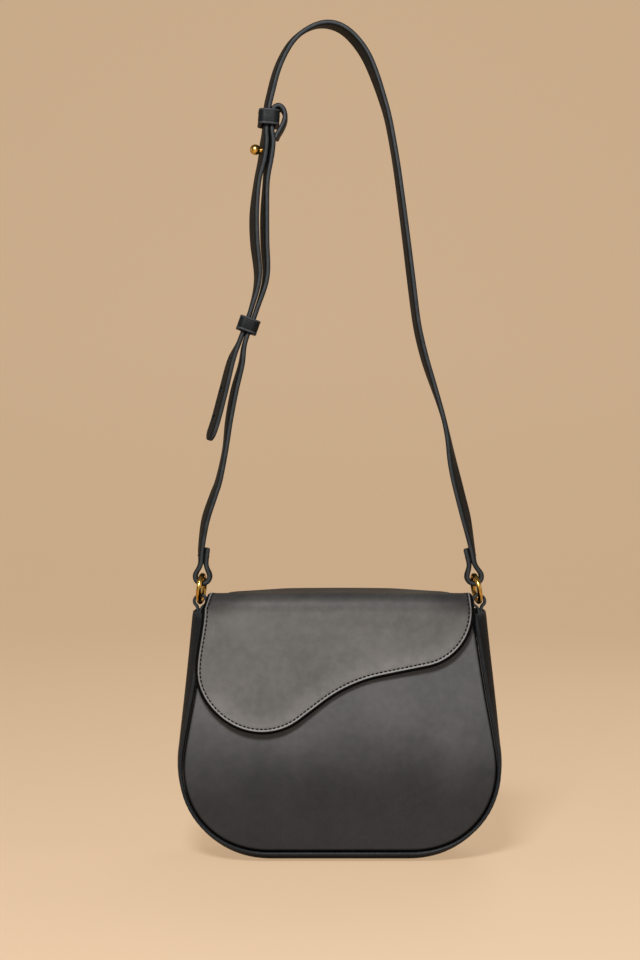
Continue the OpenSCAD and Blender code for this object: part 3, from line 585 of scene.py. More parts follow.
def welt(label, side):
    """Leather piping in a seam: a tube drawn in a little between the stitches that hold it."""
    q = seam(MOUTH_Z - 2.0, 30, 70, 60)
    n, sides = len(q), 12
    verts = []
    for i, (x, z, way) in enumerate(q[:, :3]):
        a = math.radians(way)
        end = min(1, (min(i, n - 1 - i) + 0.6) / 2.2)
        r = 0.78 * WELT_R * (0.95 + 0.05 * math.sin(i * 2.1)) * math.sqrt(end)
        for t in (2 * math.pi * k / sides for k in range(sides)):
            d = r * math.cos(t) + 0.25
            verts.append((x + d * math.cos(a), side * WELT_Y + r * math.sin(t), z + d * math.sin(a)))
    piece = make_object(f"{label}_welt_piping", verts, tube_faces(n, sides), WELT_LEATHER)
    dress(piece, "bag", "leather", f"{label}_welt")


def mouth_row(name, side, height, z, inset, way):
    """Stitches along a level line on a panel, standing out of it where way is 1 and into the bag where it is -1."""
    half = seam(z)[-1, 0] - inset
    points = np.array([np.linspace(-half, half, ROW_POINTS), np.full(ROW_POINTS, z)]).T
    out = np.tile((0.0, float(way * side), 0.0), (ROW_POINTS, 1))
    dress(stitches(name, on_panel(points, side, height), out, pitch=ROW_PITCH), "bag", "leather")


for label, side in SIDES:
    welt(label, side)
for label, side in SIDES:
    mouth_row(f"{label}_mouth_stitches", side, 0.02, TOP_ROW_Z, 6, 1)

# ---- linings, facings, pocket


def wall_sheet(name, side, outlines, mid, lift, thickness, material, slot, node, slack_of=None):
    """A sheet along a panel, its inner face lift mm from the panel's outer one."""
    points, faces = polar(outlines, mid, [0.85, 0.65, 0.45, 0.22])
    outer = on_panel(points, side, lift + thickness, slack_of)
    inner = on_panel(points, side, lift, slack_of)
    return dress(skin(name, outer, inner, turned(faces, side), material), "bag", slot, node)


lining_loops = [panel_outline(LINING_TOP - i, PANEL_INSET + i) for i in (0, 0.5, 1.5, 4, 10)]
for label, side in SIDES:
    piece = wall_sheet(f"lining_{label}_cloth", side, lining_loops, np.array([0, 82.0]), LINING_LIFT, LINING_T,
                       LINING_CLOTH, "lining_cloth", f"lining_{label}", (11, 0.25))

gusset_lining = gusset_strip("lining_gusset_cloth", LINING_TOP, GUSSET_T + LINING_GAP, LINING_T,
                             (HALF_DEPTH + LINING_LIFT - LINING_GAP) / GUSSET_HALF, LINING_CLOTH, "lining_cloth",
                             "lining_gusset")


def facing_outline(i, across=44):
    low, high = LINING_TOP + 0.1 + i, MOUTH_Z - i
    (low_x, _), end = (seam(z)[-1, :2] - (PANEL_INSET + i) * direction(LEAN) for z in (low, high))
    bottom = [(mix(-low_x, low_x, k / across), low) for k in range(across + 1)]
    top = [(mix(end[0], -end[0], k / across), high) for k in range(across + 1)]
    return eased(np.array(bottom + top), end, CORNER_EASE)


facing_loops = [facing_outline(i) for i in (0, 0.4, 1, 2.5, 6)]
for label, side in SIDES:
    wall_sheet(f"facing_{label}_leather", side, facing_loops, np.array([0, 163.0]), FACING_LIFT, FACING_T,
               INNER_LEATHER, "leather", f"facing_{label}")
    for row, z in (("low", LOW_ROW_Z), ("top", TOP_ROW_Z)):
        mouth_row(f"facing_{label}_{row}_stitches", side, FACING_LIFT - 0.02, z, 8, -1)


def rounded_box(w, d, r, n=8):
    x, y = w / 2 - r, d / 2 - r
    corners = ((x, y), (-x, y), (-x, -y), (x, -y))
    return np.vstack([circle(mid, r, np.linspace(90 * k, 90 * k + 90, n)) for k, mid in enumerate(corners)])


def refined(loop, longest):
    """A closed loop of points with no side longer than longest."""
    found = []
    for a, b in zip(loop, np.roll(loop, -1, axis=0)):
        n = max(1, int(np.ceil(np.linalg.norm(b - a) / longest)))
        found += [mix(a, b, k / n) for k in range(n)]
    return np.array(found)


POCKET_MID = np.array([0, LINING_TOP - POCKET_H / 12 - POCKET_H / 2])
POCKET_LIFT = LINING_LIFT - LINING_GAP - POCKET_T
pocket_loop = refined(rounded_box(POCKET_W, POCKET_H, 14), 5.0)
pocket_loops = [pocket_loop * [1 - 2 * i / POCKET_W, 1 - 2 * i / POCKET_H] + POCKET_MID for i in (0, 0.4, 1, 2.5, 6)]
wall_sheet("slip_pocket_leather", 1, pocket_loops, POCKET_MID, POCKET_LIFT, POCKET_T, INNER_LEATHER, "leather",
           "slip_pocket")
u_line = refined(rounded_box(POCKET_W - 5, POCKET_H - 5, 12), 2.0)
u_line = u_line[u_line[:, 1] < POCKET_H / 2 - 16]
u_line = u_line[np.argsort(-np.arctan2(u_line[:, 0], -u_line[:, 1]))] + POCKET_MID
inwards = np.tile((0.0, -1.0, 0.0), (len(u_line), 1))
dress(stitches("slip_pocket_stitches", on_panel(u_line, 1, POCKET_LIFT - 0.02), inwards, pitch=3.2), "bag", "leather")

# ---- flap


def free_edge(inset, top):
    """The flap's free edge, from the fold at the left round the lobe and the hollow to the fold at the right."""
    lobe, shelf, waist = LOBE_R - inset, SHELF_R - inset, WAIST_R + inset
    lobe_end = LOBE + lobe * direction(STEP_SLOPE - 90)
    shelf_start = SHELF + shelf * direction(SHELF_SLOPE - 90)
    d, e, gap = direction(STEP_SLOPE), direction(SHELF_SLOPE), shelf_start - lobe_end
    meet = lobe_end + d * (gap[0] * e[1] - gap[1] * e[0]) / (d[0] * e[1] - d[1] * e[0])
    start = meet - waist * math.tan(math.radians((STEP_SLOPE - SHELF_SLOPE) / 2)) * d
    mid = start + waist * np.array([d[1], -d[0]])
    high = min(SHELF[1], top - 0.2)
    last = math.asin((high - SHELF[1]) / shelf)
    return np.vstack([
        [(mix(-FRONT_HALF, LOBE[0] - LOBE_R, smooth(k / 12)) + inset, mix(top, LOBE[1], k / 12)) for k in range(12)],
        circle(LOBE, lobe, np.linspace(180, 270 + STEP_SLOPE, 56)),
        [mix(lobe_end, start, k / 4) for k in (1, 2, 3)],
        circle(mid, waist, np.linspace(STEP_SLOPE + 90, SHELF_SLOPE + 90, 20)),
        circle(SHELF, shelf, np.linspace(SHELF_SLOPE - 90, math.degrees(last), 34)),
        [(SHELF[0] + shelf * math.cos(last), mix(high, top, k / 3)) for k in range(1, 4)],
    ])


def left_side(x):
    return smooth((-40 - x) / 50)


def fuller(points):
    out = left_side(points[:, 0]) * smooth((points[:, 1] - LOBE[1] + 44) / 40)
    return points - np.array([[FULLER, 0.0]]) * out[:, None]


FLAP_INSETS = [0, 0.3, 0.6, 0.9, 1.25, 1.6, 1.95, 2.3, 2.6, 2.9, 3.3, 3.75, 4.2, 5.6, 8]
SHARES = np.array([FRONT_HALF - i for i in FLAP_INSETS] + list(np.linspace(80, -80, 41))
                  + [i - FRONT_HALF for i in reversed(FLAP_INSETS)]) / FRONT_HALF
ARC, FLAT = FOLD_R * math.pi / 2, BACK_FOLD_Y + FRONT_FOLD_Y - 2 * FOLD_R
JOIN = ARC + FLAT / 2  # the middle of the top, where the flap's two leather pieces meet
STRIP = 2 * ARC + FLAT  # where the strip on the back panel begins
FLAP_SLACK = (21, 1.0)


def over(s):
    """The flap's outer face along its middle, s mm back from the front fold line: y, z, normal y, z, half width."""

    def bent(y, a, half):
        return (y + FOLD_R * math.cos(a), FOLD_Z + FOLD_R * math.sin(a), math.cos(a), math.sin(a), half)

    if s <= ARC:
        return bent(FOLD_R - FRONT_FOLD_Y, math.pi - s / FOLD_R, mix(TOP_HALF, FRONT_HALF, (1 - s / ARC) ** 2))
    t = (s - ARC) / FLAT
    if t <= 1:
        return (FOLD_R - FRONT_FOLD_Y + t * FLAT, FOLD_Z + FOLD_R - 0.5 * math.sin(math.pi * t) ** 2, 0.0, 1.0,
                mix(WAIST_HALF, TOP_HALF, (1 - t) ** 6))
    a = math.pi / 2 - (s - ARC - FLAT) / FOLD_R
    if a >= 0:
        return bent(BACK_FOLD_Y - FOLD_R, a, mix(BACK_HALF, WAIST_HALF, a * 2 / math.pi))
    down, r = s - 2 * ARC - FLAT, BACK_H / 2
    corner = max(0.0, down - r)
    return (BACK_FOLD_Y, FOLD_Z - down, 1.0, 0.0, BACK_HALF - r + math.sqrt(max(0.0, r * r - corner * corner)))


def over_point(s, share, inset, h):
    """A point at a share of the flap's half width, h mm over its face. The top is arched and its ends hang."""
    y, z, ny, nz, w = over(s)
    end = abs(share)
    low = 2.9 * smooth((end - 0.4) / 0.6) + 1.4 * smooth((end - 0.88) / 0.12)
    rise = ARCH * nz * (0.25 - share * share) + 1.3 * nz * smooth((end - 0.5) / 0.5)
    rise -= low * nz * smooth((s - ARC * 0.8) / 34)
    x = share * (w - inset)
    x -= FULLER * left_side(x) * max(0.0, 1 - s / ARC) ** 1.5
    return (x, y + h * ny, z + h * nz + rise)


def bead(d):
    """Height of the turned edge over the leather, d mm in from it, with the channel of the stitches."""
    turn = np.clip(1 - d / 2.0, 0, 1)
    return (0.4 * np.exp(-((d - 2.3) / 0.6) ** 2) - 1.35 * (1 - np.sqrt(1 - turn**2))
            - 0.36 * np.exp(-((d - STITCH_IN) / 0.5) ** 2))


def layers(d, inset):
    """Height of a flap piece's outer face and depth of its inner one, d mm in from its edge."""
    if inset:
        return np.full(len(d), -LINING_DEEP), np.full(len(d), FLAP_STACK)
    return bead(d), mix(2.3, FLAP_T, smooth((d - 1.9) / 0.5))


def flap_skin(name, outer, inner, faces, depth, inset, **marks):
    """A lining, or leather marked for its looks: black paint on its edge, a painted highlight line on the bead's
    crest, and painted shade over the front fold, which comes down further at its two ends."""
    if inset:
        return skin(name, outer, inner, faces, LINING_CLOTH, 0.05)
    d, p = np.array(depth), np.array(outer)
    end = smooth((np.abs(p[:, 0]) - 50) / 40)
    # rim: a painted highlight line on the bead's crest; top: painted shade over the front fold, lower at its ends
    marks = {"paint": smooth((2.3 - d) / 0.35), "rim": np.exp(-((d - 2.6) / 0.28) ** 2),
             "top": smooth((p[:, 2] - 171.7 + 4.1 * end) / (18 - 3 * end)), **marks}
    return skin(name, outer, inner, faces, FLAP_LEATHER, open_at=lambda q: abs(q[1] - over(JOIN)[0]) < 1e-4,
                marks=marks)


def nearest(points, line):
    """Distance of points from a line, and how far its nearest point lies below each of them, as a share of it."""
    a, ab = line[:-1], np.diff(line, axis=0)
    t = np.clip(((points[:, None] - a) * ab).sum(2) / (ab * ab).sum(1), 0, 1)
    way = points[:, None] - (a + t[:, :, None] * ab)
    far = np.linalg.norm(way, axis=2)
    row, best = np.arange(len(points)), far.argmin(1)
    return far[row, best], way[row, best, 1] / np.maximum(far[row, best], 1e-6)


def front_height(points, h):
    return on_panel(points, -1, FLAP_LIFT + FLAP_T + h, FLAP_SLACK)


def flap_front_piece(name, inset, slot, node):
    """The flap from the middle of its top over the front fold to its free edge."""
    outlines = []
    for i in [0, 0.4, 1, 2.5, 5.5] if inset else FLAP_INSETS:
        low = free_edge(inset + i, FOLD_Z - i)
        top = [(mix(low[0, 0], low[-1, 0], (s + 1) / 2), FOLD_Z - i) for s in SHARES[1:-1]]
        outlines.append(fuller(np.vstack([low, top])))
    points, faces = polar(outlines, np.array([4.0, 151.0]), [0.9, 0.78, 0.66, 0.54, 0.42, 0.3, 0.18, 0.08])
    d, below = nearest(points, fuller(free_edge(inset, FOLD_Z)))
    # painted light: the leather is made paler within 20 mm of the lower free edge
    pale = list(smooth(1 - d / 20) * smooth((below - 0.25) / 0.6))
    up, under = layers(d, inset)
    outer, inner, depth = list(front_height(points, up)), list(front_height(points, -under)), list(d)
    m = len(outlines[0])
    row = list(range(m - len(SHARES) + 1, m)) + [0]
    for s in list(np.linspace(0, ARC, 13)[1:]) + list(np.linspace(ARC, JOIN, 9)[1:]):
        e = (1 - np.abs(SHARES)) * (over(s)[4] - inset)
        up, under = layers(e, inset)
        upper = list(range(len(outer), len(outer) + len(SHARES)))
        outer += [over_point(s, q, inset, h) for q, h in zip(SHARES, up)]
        inner += [over_point(s, q, inset, -h) for q, h in zip(SHARES, under)]
        depth += list(e)
        pale += [0.0] * len(e)
        faces += [(row[k], upper[k], upper[k + 1], row[k + 1]) for k in range(len(row) - 1)]
        row = upper
    return on_front_fold(flap_skin(name, outer, inner, faces, depth, inset, pale=pale), slot, node)


def flap_back_piece(name, inset, slot, *nodes):
    """The flap from the middle of its top over the back fold; its leather goes on to the strip on the back panel."""
    rows = list(np.linspace(JOIN, ARC + FLAT, 9)) + list(np.linspace(ARC + FLAT, STRIP, 13)[1:])
    if not inset:
        rows += [STRIP + v for v in (2, 4, 7, 10, 13, 16, 18, 19.8)]
        rows = sorted(set(rows + [STRIP + BACK_H - i for i in reversed(FLAP_INSETS[:-1])]))
    u_edge = np.array([(over(s)[4], over(s)[1]) for s in rows if s >= STRIP] + [(0.0, FOLD_Z - BACK_H)])
    outer, inner, depth = [], [], []
    for s in rows:
        half = over(s)[4] - inset
        e = (1 - np.abs(SHARES)) * half
        if s > STRIP:
            across = np.array([np.abs(SHARES) * half, np.full(len(SHARES), over(s)[1])]).T
            e = np.minimum(e, nearest(across, u_edge)[0])
        sewn = smooth((s - STRIP) / 6)
        up, under = layers(e, inset)
        up = up - sewn * 0.9 * smooth(1 - e / 3.2)
        under = mix(under, FLAP_STACK, sewn)
        outer += [over_point(s, q, inset, h) for q, h in zip(SHARES, up)]
        inner += [over_point(s, q, inset, -h) for q, h in zip(SHARES, under)]
        depth += list(e)
    faces = [(a, d, c, b) for a, b, c, d in rings_faces(len(rows), len(SHARES), closed=False)]
    return on_back_fold(flap_skin(name, outer, inner, faces, depth, inset), slot, *nodes)


flap_front_piece("flap_front_leather", 0, "leather", "flap_front")
flap_back_piece("flap_back_leather", 0, "leather", "flap_top", "flap_back")
front_lining = flap_front_piece("flap_front_lining_cloth", LINING_IN, "lining_cloth", "flap_front_lining")
top_lining = flap_back_piece("flap_top_lining_cloth", LINING_IN, "lining_cloth", "flap_top_lining")


def row_in(place, sink):
    """Points of a row of stitches sunk into a surface, and the way out of it there."""
    at = place(-sink)
    return at, place(1 - sink) - at


def side_row(sign):
    stations = [(s, sign * (1 - STITCH_IN / over(s)[4])) for s in np.linspace(JOIN, 0.8, 40)]
    return row_in(lambda h: np.array([over_point(s, share, 0, h) for s, share in stations]), STITCH_SINK)


front_line = fuller(free_edge(STITCH_IN, FOLD_Z - 0.6))
front_row = row_in(lambda h: front_height(front_line, h), STITCH_SINK)
path, normals = (np.vstack([a, b, c[::-1]]) for a, b, c in zip(side_row(-1), front_row, side_row(1)))
on_front_fold(stitches("flap_front_stitches", path, normals), "leather")

half_u = [(over(s)[4] - STITCH_IN, s) for s in np.linspace(JOIN, STRIP + BACK_H / 2, 60)]
turn_mid, turn_r = (BACK_HALF - BACK_H / 2, STRIP + BACK_H / 2), BACK_H / 2 - STITCH_IN
half_u += [tuple(p) for p in circle(turn_mid, turn_r, np.linspace(0, 90, 14)[1:])]
end_x, end_s = half_u[-1]
whole_u = half_u + [(x, end_s) for x in np.linspace(end_x, -end_x, 60)[1:-1]] + [(-x, s) for x, s in reversed(half_u)]
back_row = row_in(lambda h: np.array([(x,) + over_point(s, x / over(s)[4], 0, h)[1:] for x, s in whole_u]),
                  BACK_STITCH_SINK)
on_back_fold(stitches("flap_back_stitches", *back_row), "leather")

# ---- straps, in the plane of the rings: a route is x, z over the rings' middles, twist in degrees, width

RING_R, WIRE_D, RING_Z = 9.5, 3.6, 188.5
TAB_X, TAB_T, TAB_W, TAB_SLOPE, TAB_HOLE_Z, TAB_TAIL = 99.402, 1.8, 9.0, 5.87, 179.75, 15.0
EYE_HOLE_R = WIRE_D / 2 + 1.6
RISE, STRAP_T, STRAP_W, EYE_W, STRAP_GAP = 402.5, 3.5, 16.0, 9.5, 0.4
HOLE_D, TIP_ROUND, SPACING = 4.6, 9.0, 1.6
NECK, FOLD_END, NECK_TWIST = 9.0, 11.5, 12.0
BESIDE, STUD_BESIDE, STUD_TWIST = (STRAP_T + STRAP_GAP) / 2, STRAP_T / 2 + 0.6, 16.0
KEEPER_W, KEEPER_T, KEEPER_TOP, KEEPER_LOW, KEEPER_TWIST, TRAVEL = 15.0, 2.6, 12.0, 10.0, 4.0, 6.0
TOP_RUN, STUD_RUN, LOW_RUN = KEEPER_TOP / 2 + BESIDE, 6.0, KEEPER_LOW / 2 + TRAVEL + BESIDE / 2
# Shares of TAB_X and of RISE, and the twist
ARCH_SHARES = [
    (0.911, 0.1217, 21), (0.875, 0.157, 22), (0.839, 0.1926, 22), (0.807, 0.228, 17), (0.783, 0.2634, 8),
    (0.752, 0.299, 4), (0.71, 0.334, 1), (0.662, 0.37, -4), (0.617, 0.405, -7), (0.58, 0.4406, -8),
    (0.552, 0.476, -8), (0.516, 0.547, -9), (0.481, 0.618, -8), (0.4447, 0.6886, -7), (0.405, 0.7595, -6),
    (0.352, 0.8319, -6), (0.305, 0.8728, -8), (0.262, 0.9048, -11), (0.204, 0.9398, -13), (0.147, 0.9628, -12),
    (0.0897, 0.9795, -10), (0.032, 0.9918, -7), (-0.025, 0.9988, -4), (-0.0825, 1.0018, 0), (-0.14, 1.0013, 5),
    (-0.197, 0.9972, 9), (-0.2546, 0.9898, 11), (-0.312, 0.9788, 12), (-0.36, 0.965, 13), (-0.402, 0.9473, 14),
    (-0.44, 0.9268, 14), (-0.466, 0.907, 14), (-0.487, 0.886, 14),
]
LONG_MID = [(-0.59, 0.7205, 12), (-0.612, 0.666, 17), (-0.608, 0.616, 17), (-0.586, 0.5516, 12)]
TAIL = [(-0.776, 0.4055, 14), (-0.832, 0.352, 18), (-0.885, 0.302, 19), (-0.926, 0.271, 19)]
SHORT_MID = [(-0.527, 0.7205, 10), (-0.537, 0.666, 15), (-0.536, 0.616, 15), (-0.529, 0.5516, 10)]
LEG = [(-0.705, 0.3975, 9), (-0.753, 0.352, 14), (-0.793, 0.299, 13), (-0.821, 0.2457, 8), (-0.866, 0.1925, 11),
       (-0.903, 0.166, 14), (-0.962, 0.1215, 15)]
# The short strap's end round the upper keeper, in shares of half the keeper's width and height
KEEPER_FOLD = [(0.83, -2.38), (0.93, -1.92), (1.23, -1.2), (1.45, -0.53), (1.56, 0.17),
               (1.47, 0.82), (1.23, 1.27), (0.91, 1.47), (0.56, 1.37), (0.33, 1.08)]
TOP_AT, TOP_LEAN = (-0.508 * TAB_X, 0.8335 * RISE), 3.6
LOW_AT, LOW_LEAN = (-0.656 * TAB_X, 0.467 * RISE), 19.7
STUD_AT, STUD_LEAN = (-0.523 * TAB_X, 0.776 * RISE), 7.0


def routed(shares):
    return [(a * TAB_X, b * RISE, t, STRAP_W) for a, b, t in shares]


def beside(at, lean, right, up, twist=KEEPER_TWIST):
    c, s = direction(lean)
    return (at[0] + right * c + up * s, at[1] - right * s + up * c, twist, STRAP_W)


def both_ways(at, lean, right, run, *twist):
    return [beside(at, lean, right, up, *twist) for up in (run, -run)]


def eye(x, lean):
    """The end of a strap round a ring, from its folded end to the strap itself."""
    top, r, z = NECK + FOLD_END, EYE_HOLE_R + STRAP_T / 2, RING_R - 0.75
    c, s = direction(lean)

    def at(out, up, twist, share):
        return (x + out * c - up * s, z + out * s + up * c, twist, mix(EYE_W, STRAP_W, share))

    return ([at(-BESIDE, top, -NECK_TWIST, 0.4), at(-BESIDE, NECK, -NECK_TWIST / 2, 0.2)]
            + [at(r * math.cos(a), r * math.sin(a), 0, 0) for a in np.radians(np.linspace(155, 385, 9))]
            + [at(BESIDE, NECK, NECK_TWIST / 2, 0.2), at(BESIDE, top, NECK_TWIST, 0.4)])


def ring_foot(lean):
    return TAB_X - 2 * RING_R * math.sin(math.radians(lean))


RIGHT_EYE = eye(ring_foot(10), 10)
LEFT_EYE = [(-x, z, t, w) for x, z, t, w in reversed(eye(ring_foot(5), 3))]
tail = np.array(routed(TAIL))[:, :2]
TIP = tail[-1] + unit(tail[-1:] - tail[-2:-1])[0] * STRAP_W * 0.22
LONG_ROUTE = (
    RIGHT_EYE + routed(ARCH_SHARES)
    + [beside(TOP_AT, TOP_LEAN, -1.4, TOP_RUN, 13.0), beside(TOP_AT, TOP_LEAN, -BESIDE, -TOP_RUN, 9.0)]
    + both_ways(STUD_AT, STUD_LEAN, -STUD_BESIDE, STUD_RUN, STUD_TWIST) + routed(LONG_MID)
    + both_ways(LOW_AT, LOW_LEAN, -BESIDE, LOW_RUN) + routed(TAIL) + [(*TIP, 10.0, STRAP_W)]
)
SHORT_ROUTE = (
    [beside(TOP_AT, TOP_LEAN, a * KEEPER_W / 2, b * KEEPER_TOP / 2, max(0.0, 9.0 - 11 * a)) for a, b in KEEPER_FOLD]
    + [beside(TOP_AT, TOP_LEAN, BESIDE, up, 9.0) for up in (KEEPER_TOP * 0.3, -TOP_RUN)]
    + both_ways(STUD_AT, STUD_LEAN, STUD_BESIDE, STUD_RUN, STUD_TWIST) + routed(SHORT_MID)
    + both_ways(LOW_AT, LOW_LEAN, BESIDE, LOW_RUN) + routed(LEG) + LEFT_EYE
)


def curve(points, spacing):
    """A smooth curve through the points, with a point about every spacing mm."""
    p = np.array(points, float)
    found = []
    for i in range(len(p) - 1):
        a, b, c, d = p[max(i - 1, 0)], p[i], p[i + 1], p[min(i + 2, len(p) - 1)]
        n = max(2, int(round(np.linalg.norm((c - b)[:2]) / spacing)))
        for t in (k / n for k in range(n)):
            found.append((2 * b + (c - a) * t + (2 * a - 5 * b + 4 * c - d) * t**2
                          + (3 * b - a - 3 * c + d) * t**3) / 2)
    return np.array(found + [p[-1]])


def mirrored(quarter):
    """A whole cross section from the quarter that runs from the middle of a face to the middle of an edge."""
    upper = np.vstack([quarter, np.array(quarter[-2::-1]) * [-1, 1]])
    return np.vstack([upper, upper[-2:0:-1] * [1, -1]])


def mirrored_marks(quarter):
    upper = quarter + quarter[-2::-1]
    return upper + upper[-2:0:-1]


def strap_section(w, t):
    """Rounded, painted edges and a creased line beside each of them."""
    h, b = t / 2, w / 2
    return mirrored([(h + 0.04, 0.0), (h + 0.03, b * 0.35), (h, b - 2.6), (h, b - 2.0), (h - 0.22, b - 1.7),
                     (h - 0.02, b - 1.4), (h - 0.06, b - 1.0), (h - 0.3, b - 0.42), (h - 0.75, b - 0.1),
                     (h - 1.2, b + 0.04), (0.0, b + 0.1)])


STRAP_MARKS = mirrored_marks([0, 0, 0, 0, 0, 0, 0, 0, 0.35, 0.9, 1])


def ways_out(route):
    """The way out of a strap's face at each point of its route, before its twist."""
    along = unit(np.gradient(route[:, :2], axis=0))
    return np.array([along[:, 1], -along[:, 0]]).T


def strap_points(station, out, section, base_z=RING_Z):
    t = math.radians(station[2])
    a = section[:, 0] * math.cos(t) + section[:, 1] * math.sin(t)
    b = section[:, 1] * math.cos(t) - section[:, 0] * math.sin(t)
    return np.array([station[0] + a * out[0], b, base_z + station[1] + a * out[1]]).T


def relaxed(route, first, last, reach=5.0):
    """The route with its small unevenness taken out between two distances along it."""
    run = run_along(route[:, :2])
    near = np.exp(-((run[:, None] - run) / reach) ** 2)
    even = (near @ route) / near.sum(1)[:, None]
    return mix(route, even, (smooth((run - first) / 30) * smooth((last - run) / 18))[:, None])


def strap(name, route, tip=0.0):
    """A band along a route, thinned at its ends and rounded off over its last tip mm."""
    verts = []
    run = run_along(route[:, :2])
    for station, out, d in zip(route, ways_out(route), run):
        left, w = run[-1] - d, station[3]
        if left < tip:
            w *= 0.36 + 0.64 * math.sqrt(1 - (1 - left / tip) ** 2)
        t = STRAP_T - sum(0.7 * (1 - far / 0.9) ** 2 for far in (d, left) if far <= 0.9)
        verts.append(strap_points(station, out, strap_section(w, t)))
    m = len(STRAP_MARKS)
    faces = rings_faces(len(verts), m)
    for first, flip in ((0, True), ((len(verts) - 1) * m, False)):
        cap = [(first, first + 1, first + m - 1)]
        cap += [(first + k, first + k + 1, first + m - k - 1, first + (m - k) % m) for k in range(1, m // 2 - 1)]
        cap.append((first + m // 2 - 1, first + m // 2, first + m // 2 + 1))
        faces += [tuple(reversed(f)) for f in cap] if flip else cap
    return make_object(name, np.vstack(verts), faces, STRAP_LEATHER, {"rim": STRAP_MARKS * len(verts)}, sharp=50)


def apply_modifier(obj, modifier):
    bpy.context.view_layer.objects.active = obj
    with bpy.context.temp_override(object=obj, active_object=obj, selected_objects=[obj]):
        bpy.ops.object.modifier_apply(modifier=modifier.name)


def punch(obj, x, z, lean, twist):
    """A hole through a strap at x, z, leaning by lean degrees and turned with the strap's twist."""
    (c, s), (tc, ts) = direction(lean), direction(twist)
    ring = circle((0, 0), HOLE_D / 2, np.linspace(0, 360, 25)[:-1] + 4)
    verts = []
    for depth in (-3.2, 3.2):
        for u, v in ring:
            a, b = depth * tc + u * ts, u * tc - depth * ts
            verts.append((x + a * c + v * s, b, RING_Z + z - a * s + v * c))
    tool = make_object("punch", verts, tube_faces(2, len(ring)), STRAP_LEATHER)
    cut = obj.modifiers.new("cut", "BOOLEAN")
    cut.operation, cut.solver, cut.object = "DIFFERENCE", "EXACT", tool
    apply_modifier(obj, cut)
    bpy.data.objects.remove(tool, do_unlink=True)


long_route, short_route = curve(LONG_ROUTE, SPACING), curve(SHORT_ROUTE, SPACING)
arch_end = np.linalg.norm(long_route[:, :2] - routed(ARCH_SHARES)[-1][:2], axis=1).argmin()
long_strap = strap("strap_long_leather", relaxed(long_route, 48.0, run_along(long_route[:, :2])[arch_end]), TIP_ROUND)
short_strap = strap("strap_short_leather", short_route)
tail_lean = math.degrees(math.atan2(*(tail[-2] - tail[-1])))
apply_modifier(long_strap, long_strap.modifiers.new("even", "TRIANGULATE"))
punch(long_strap, *beside(STUD_AT, STUD_LEAN, -STUD_BESIDE, 0)[:2], STUD_LEAN, STUD_TWIST)
for x, z, twist, _ in routed(TAIL)[:3]:
    punch(long_strap, x, z, tail_lean, twist)
dress(long_strap, "strap", "strap_leather", "strap_long")
dress(short_strap, "strap", "strap_leather", "strap_short")


def eye_stitches(name, route, eye_points):
    """A row of stitches across each side of a strap's folded end."""
    us = np.linspace(-4.2, 4.2, 12)
    for label, ends in (("a", eye_points[:2]), ("b", eye_points[-2:])):
        i = int(np.argmin(np.linalg.norm(route[:, :2] - np.mean([p[:2] for p in ends], axis=0), axis=1)))
        out = ways_out(route)[i]
        line = strap_points(route[i], out, np.array([us * 0 + STRAP_T / 2 + 0.02, us]).T)
        c, s = direction(route[i, 2])
        normals = np.tile((c * out[0], -s, c * out[1]), (len(us), 1))
        row = stitches(f"{name}_stitches_{label}", line, normals, pitch=2.8, length=2.1, radius=0.35)
        dress(row, "strap", "strap_leather")


eye_stitches("strap_right_end", long_route, RIGHT_EYE)
eye_stitches("strap_left_end", short_route, LEFT_EYE)


def keeper(name, at, lean, length, node, body):
    """A closed band of leather with a raised lip along each of its two edges."""
    loop = refined(rounded_box(KEEPER_W, STRAP_W + 3 * STRAP_GAP + 2 * KEEPER_T, KEEPER_W * 0.3, 9), 1.4)
    h = length / 2
    profile = [(-h + 0.35, -0.75), (-h + 0.05, -0.45), (-h, -0.1), (-h + 0.25, 0.1), (-h + 0.7, 0.16),
               (-h + 1.15, 0.1), (-h + 1.5, -0.16), (-h + 1.9, -0.05), (-h + 2.6, 0.0), (0, 0.06)]
    profile += [(-z, o) for z, o in reversed(profile[:-1])]
    profile += [(h - 0.3, -KEEPER_T + 0.2), (h - 0.6, -KEEPER_T), (-h + 0.6, -KEEPER_T), (-h + 0.3, -KEEPER_T + 0.2)]
    around = np.roll(loop, -1, axis=0) - np.roll(loop, 1, axis=0)
    verts, marks = [], []
    (c, s), (tc, ts) = direction(lean), direction(KEEPER_TWIST)
    for p, n in zip(loop, unit(np.array([around[:, 1], -around[:, 0]]).T)):
        for z, o in profile:
            x0, y0 = p + n * o
            x1, y1 = x0 * tc - y0 * ts, x0 * ts + y0 * tc
            verts.append((at[0] + x1 * c + z * s, y1, RING_Z + at[1] - x1 * s + z * c))
            marks.append(1.0 if abs(z) > h - 1.3 and o > -0.5 else 0.0)
    m = len(profile)
    pairs = [(i * m, (i + 1) % len(loop) * m) for i in range(len(loop))]
    faces = [(a + k, b + k, b + (k + 1) % m, a + (k + 1) % m) for a, b in pairs for k in range(m)]
    dress(make_object(name, verts, faces, STRAP_LEATHER, {"rim": marks}), body, "strap_leather", node)


keeper("keeper_top_leather", TOP_AT, TOP_LEAN, KEEPER_TOP - 1.2, "keeper_top", "strap")
keeper("keeper_lower_leather", LOW_AT, LOW_LEAN, KEEPER_LOW, "keeper_lower", "keeper_lower")


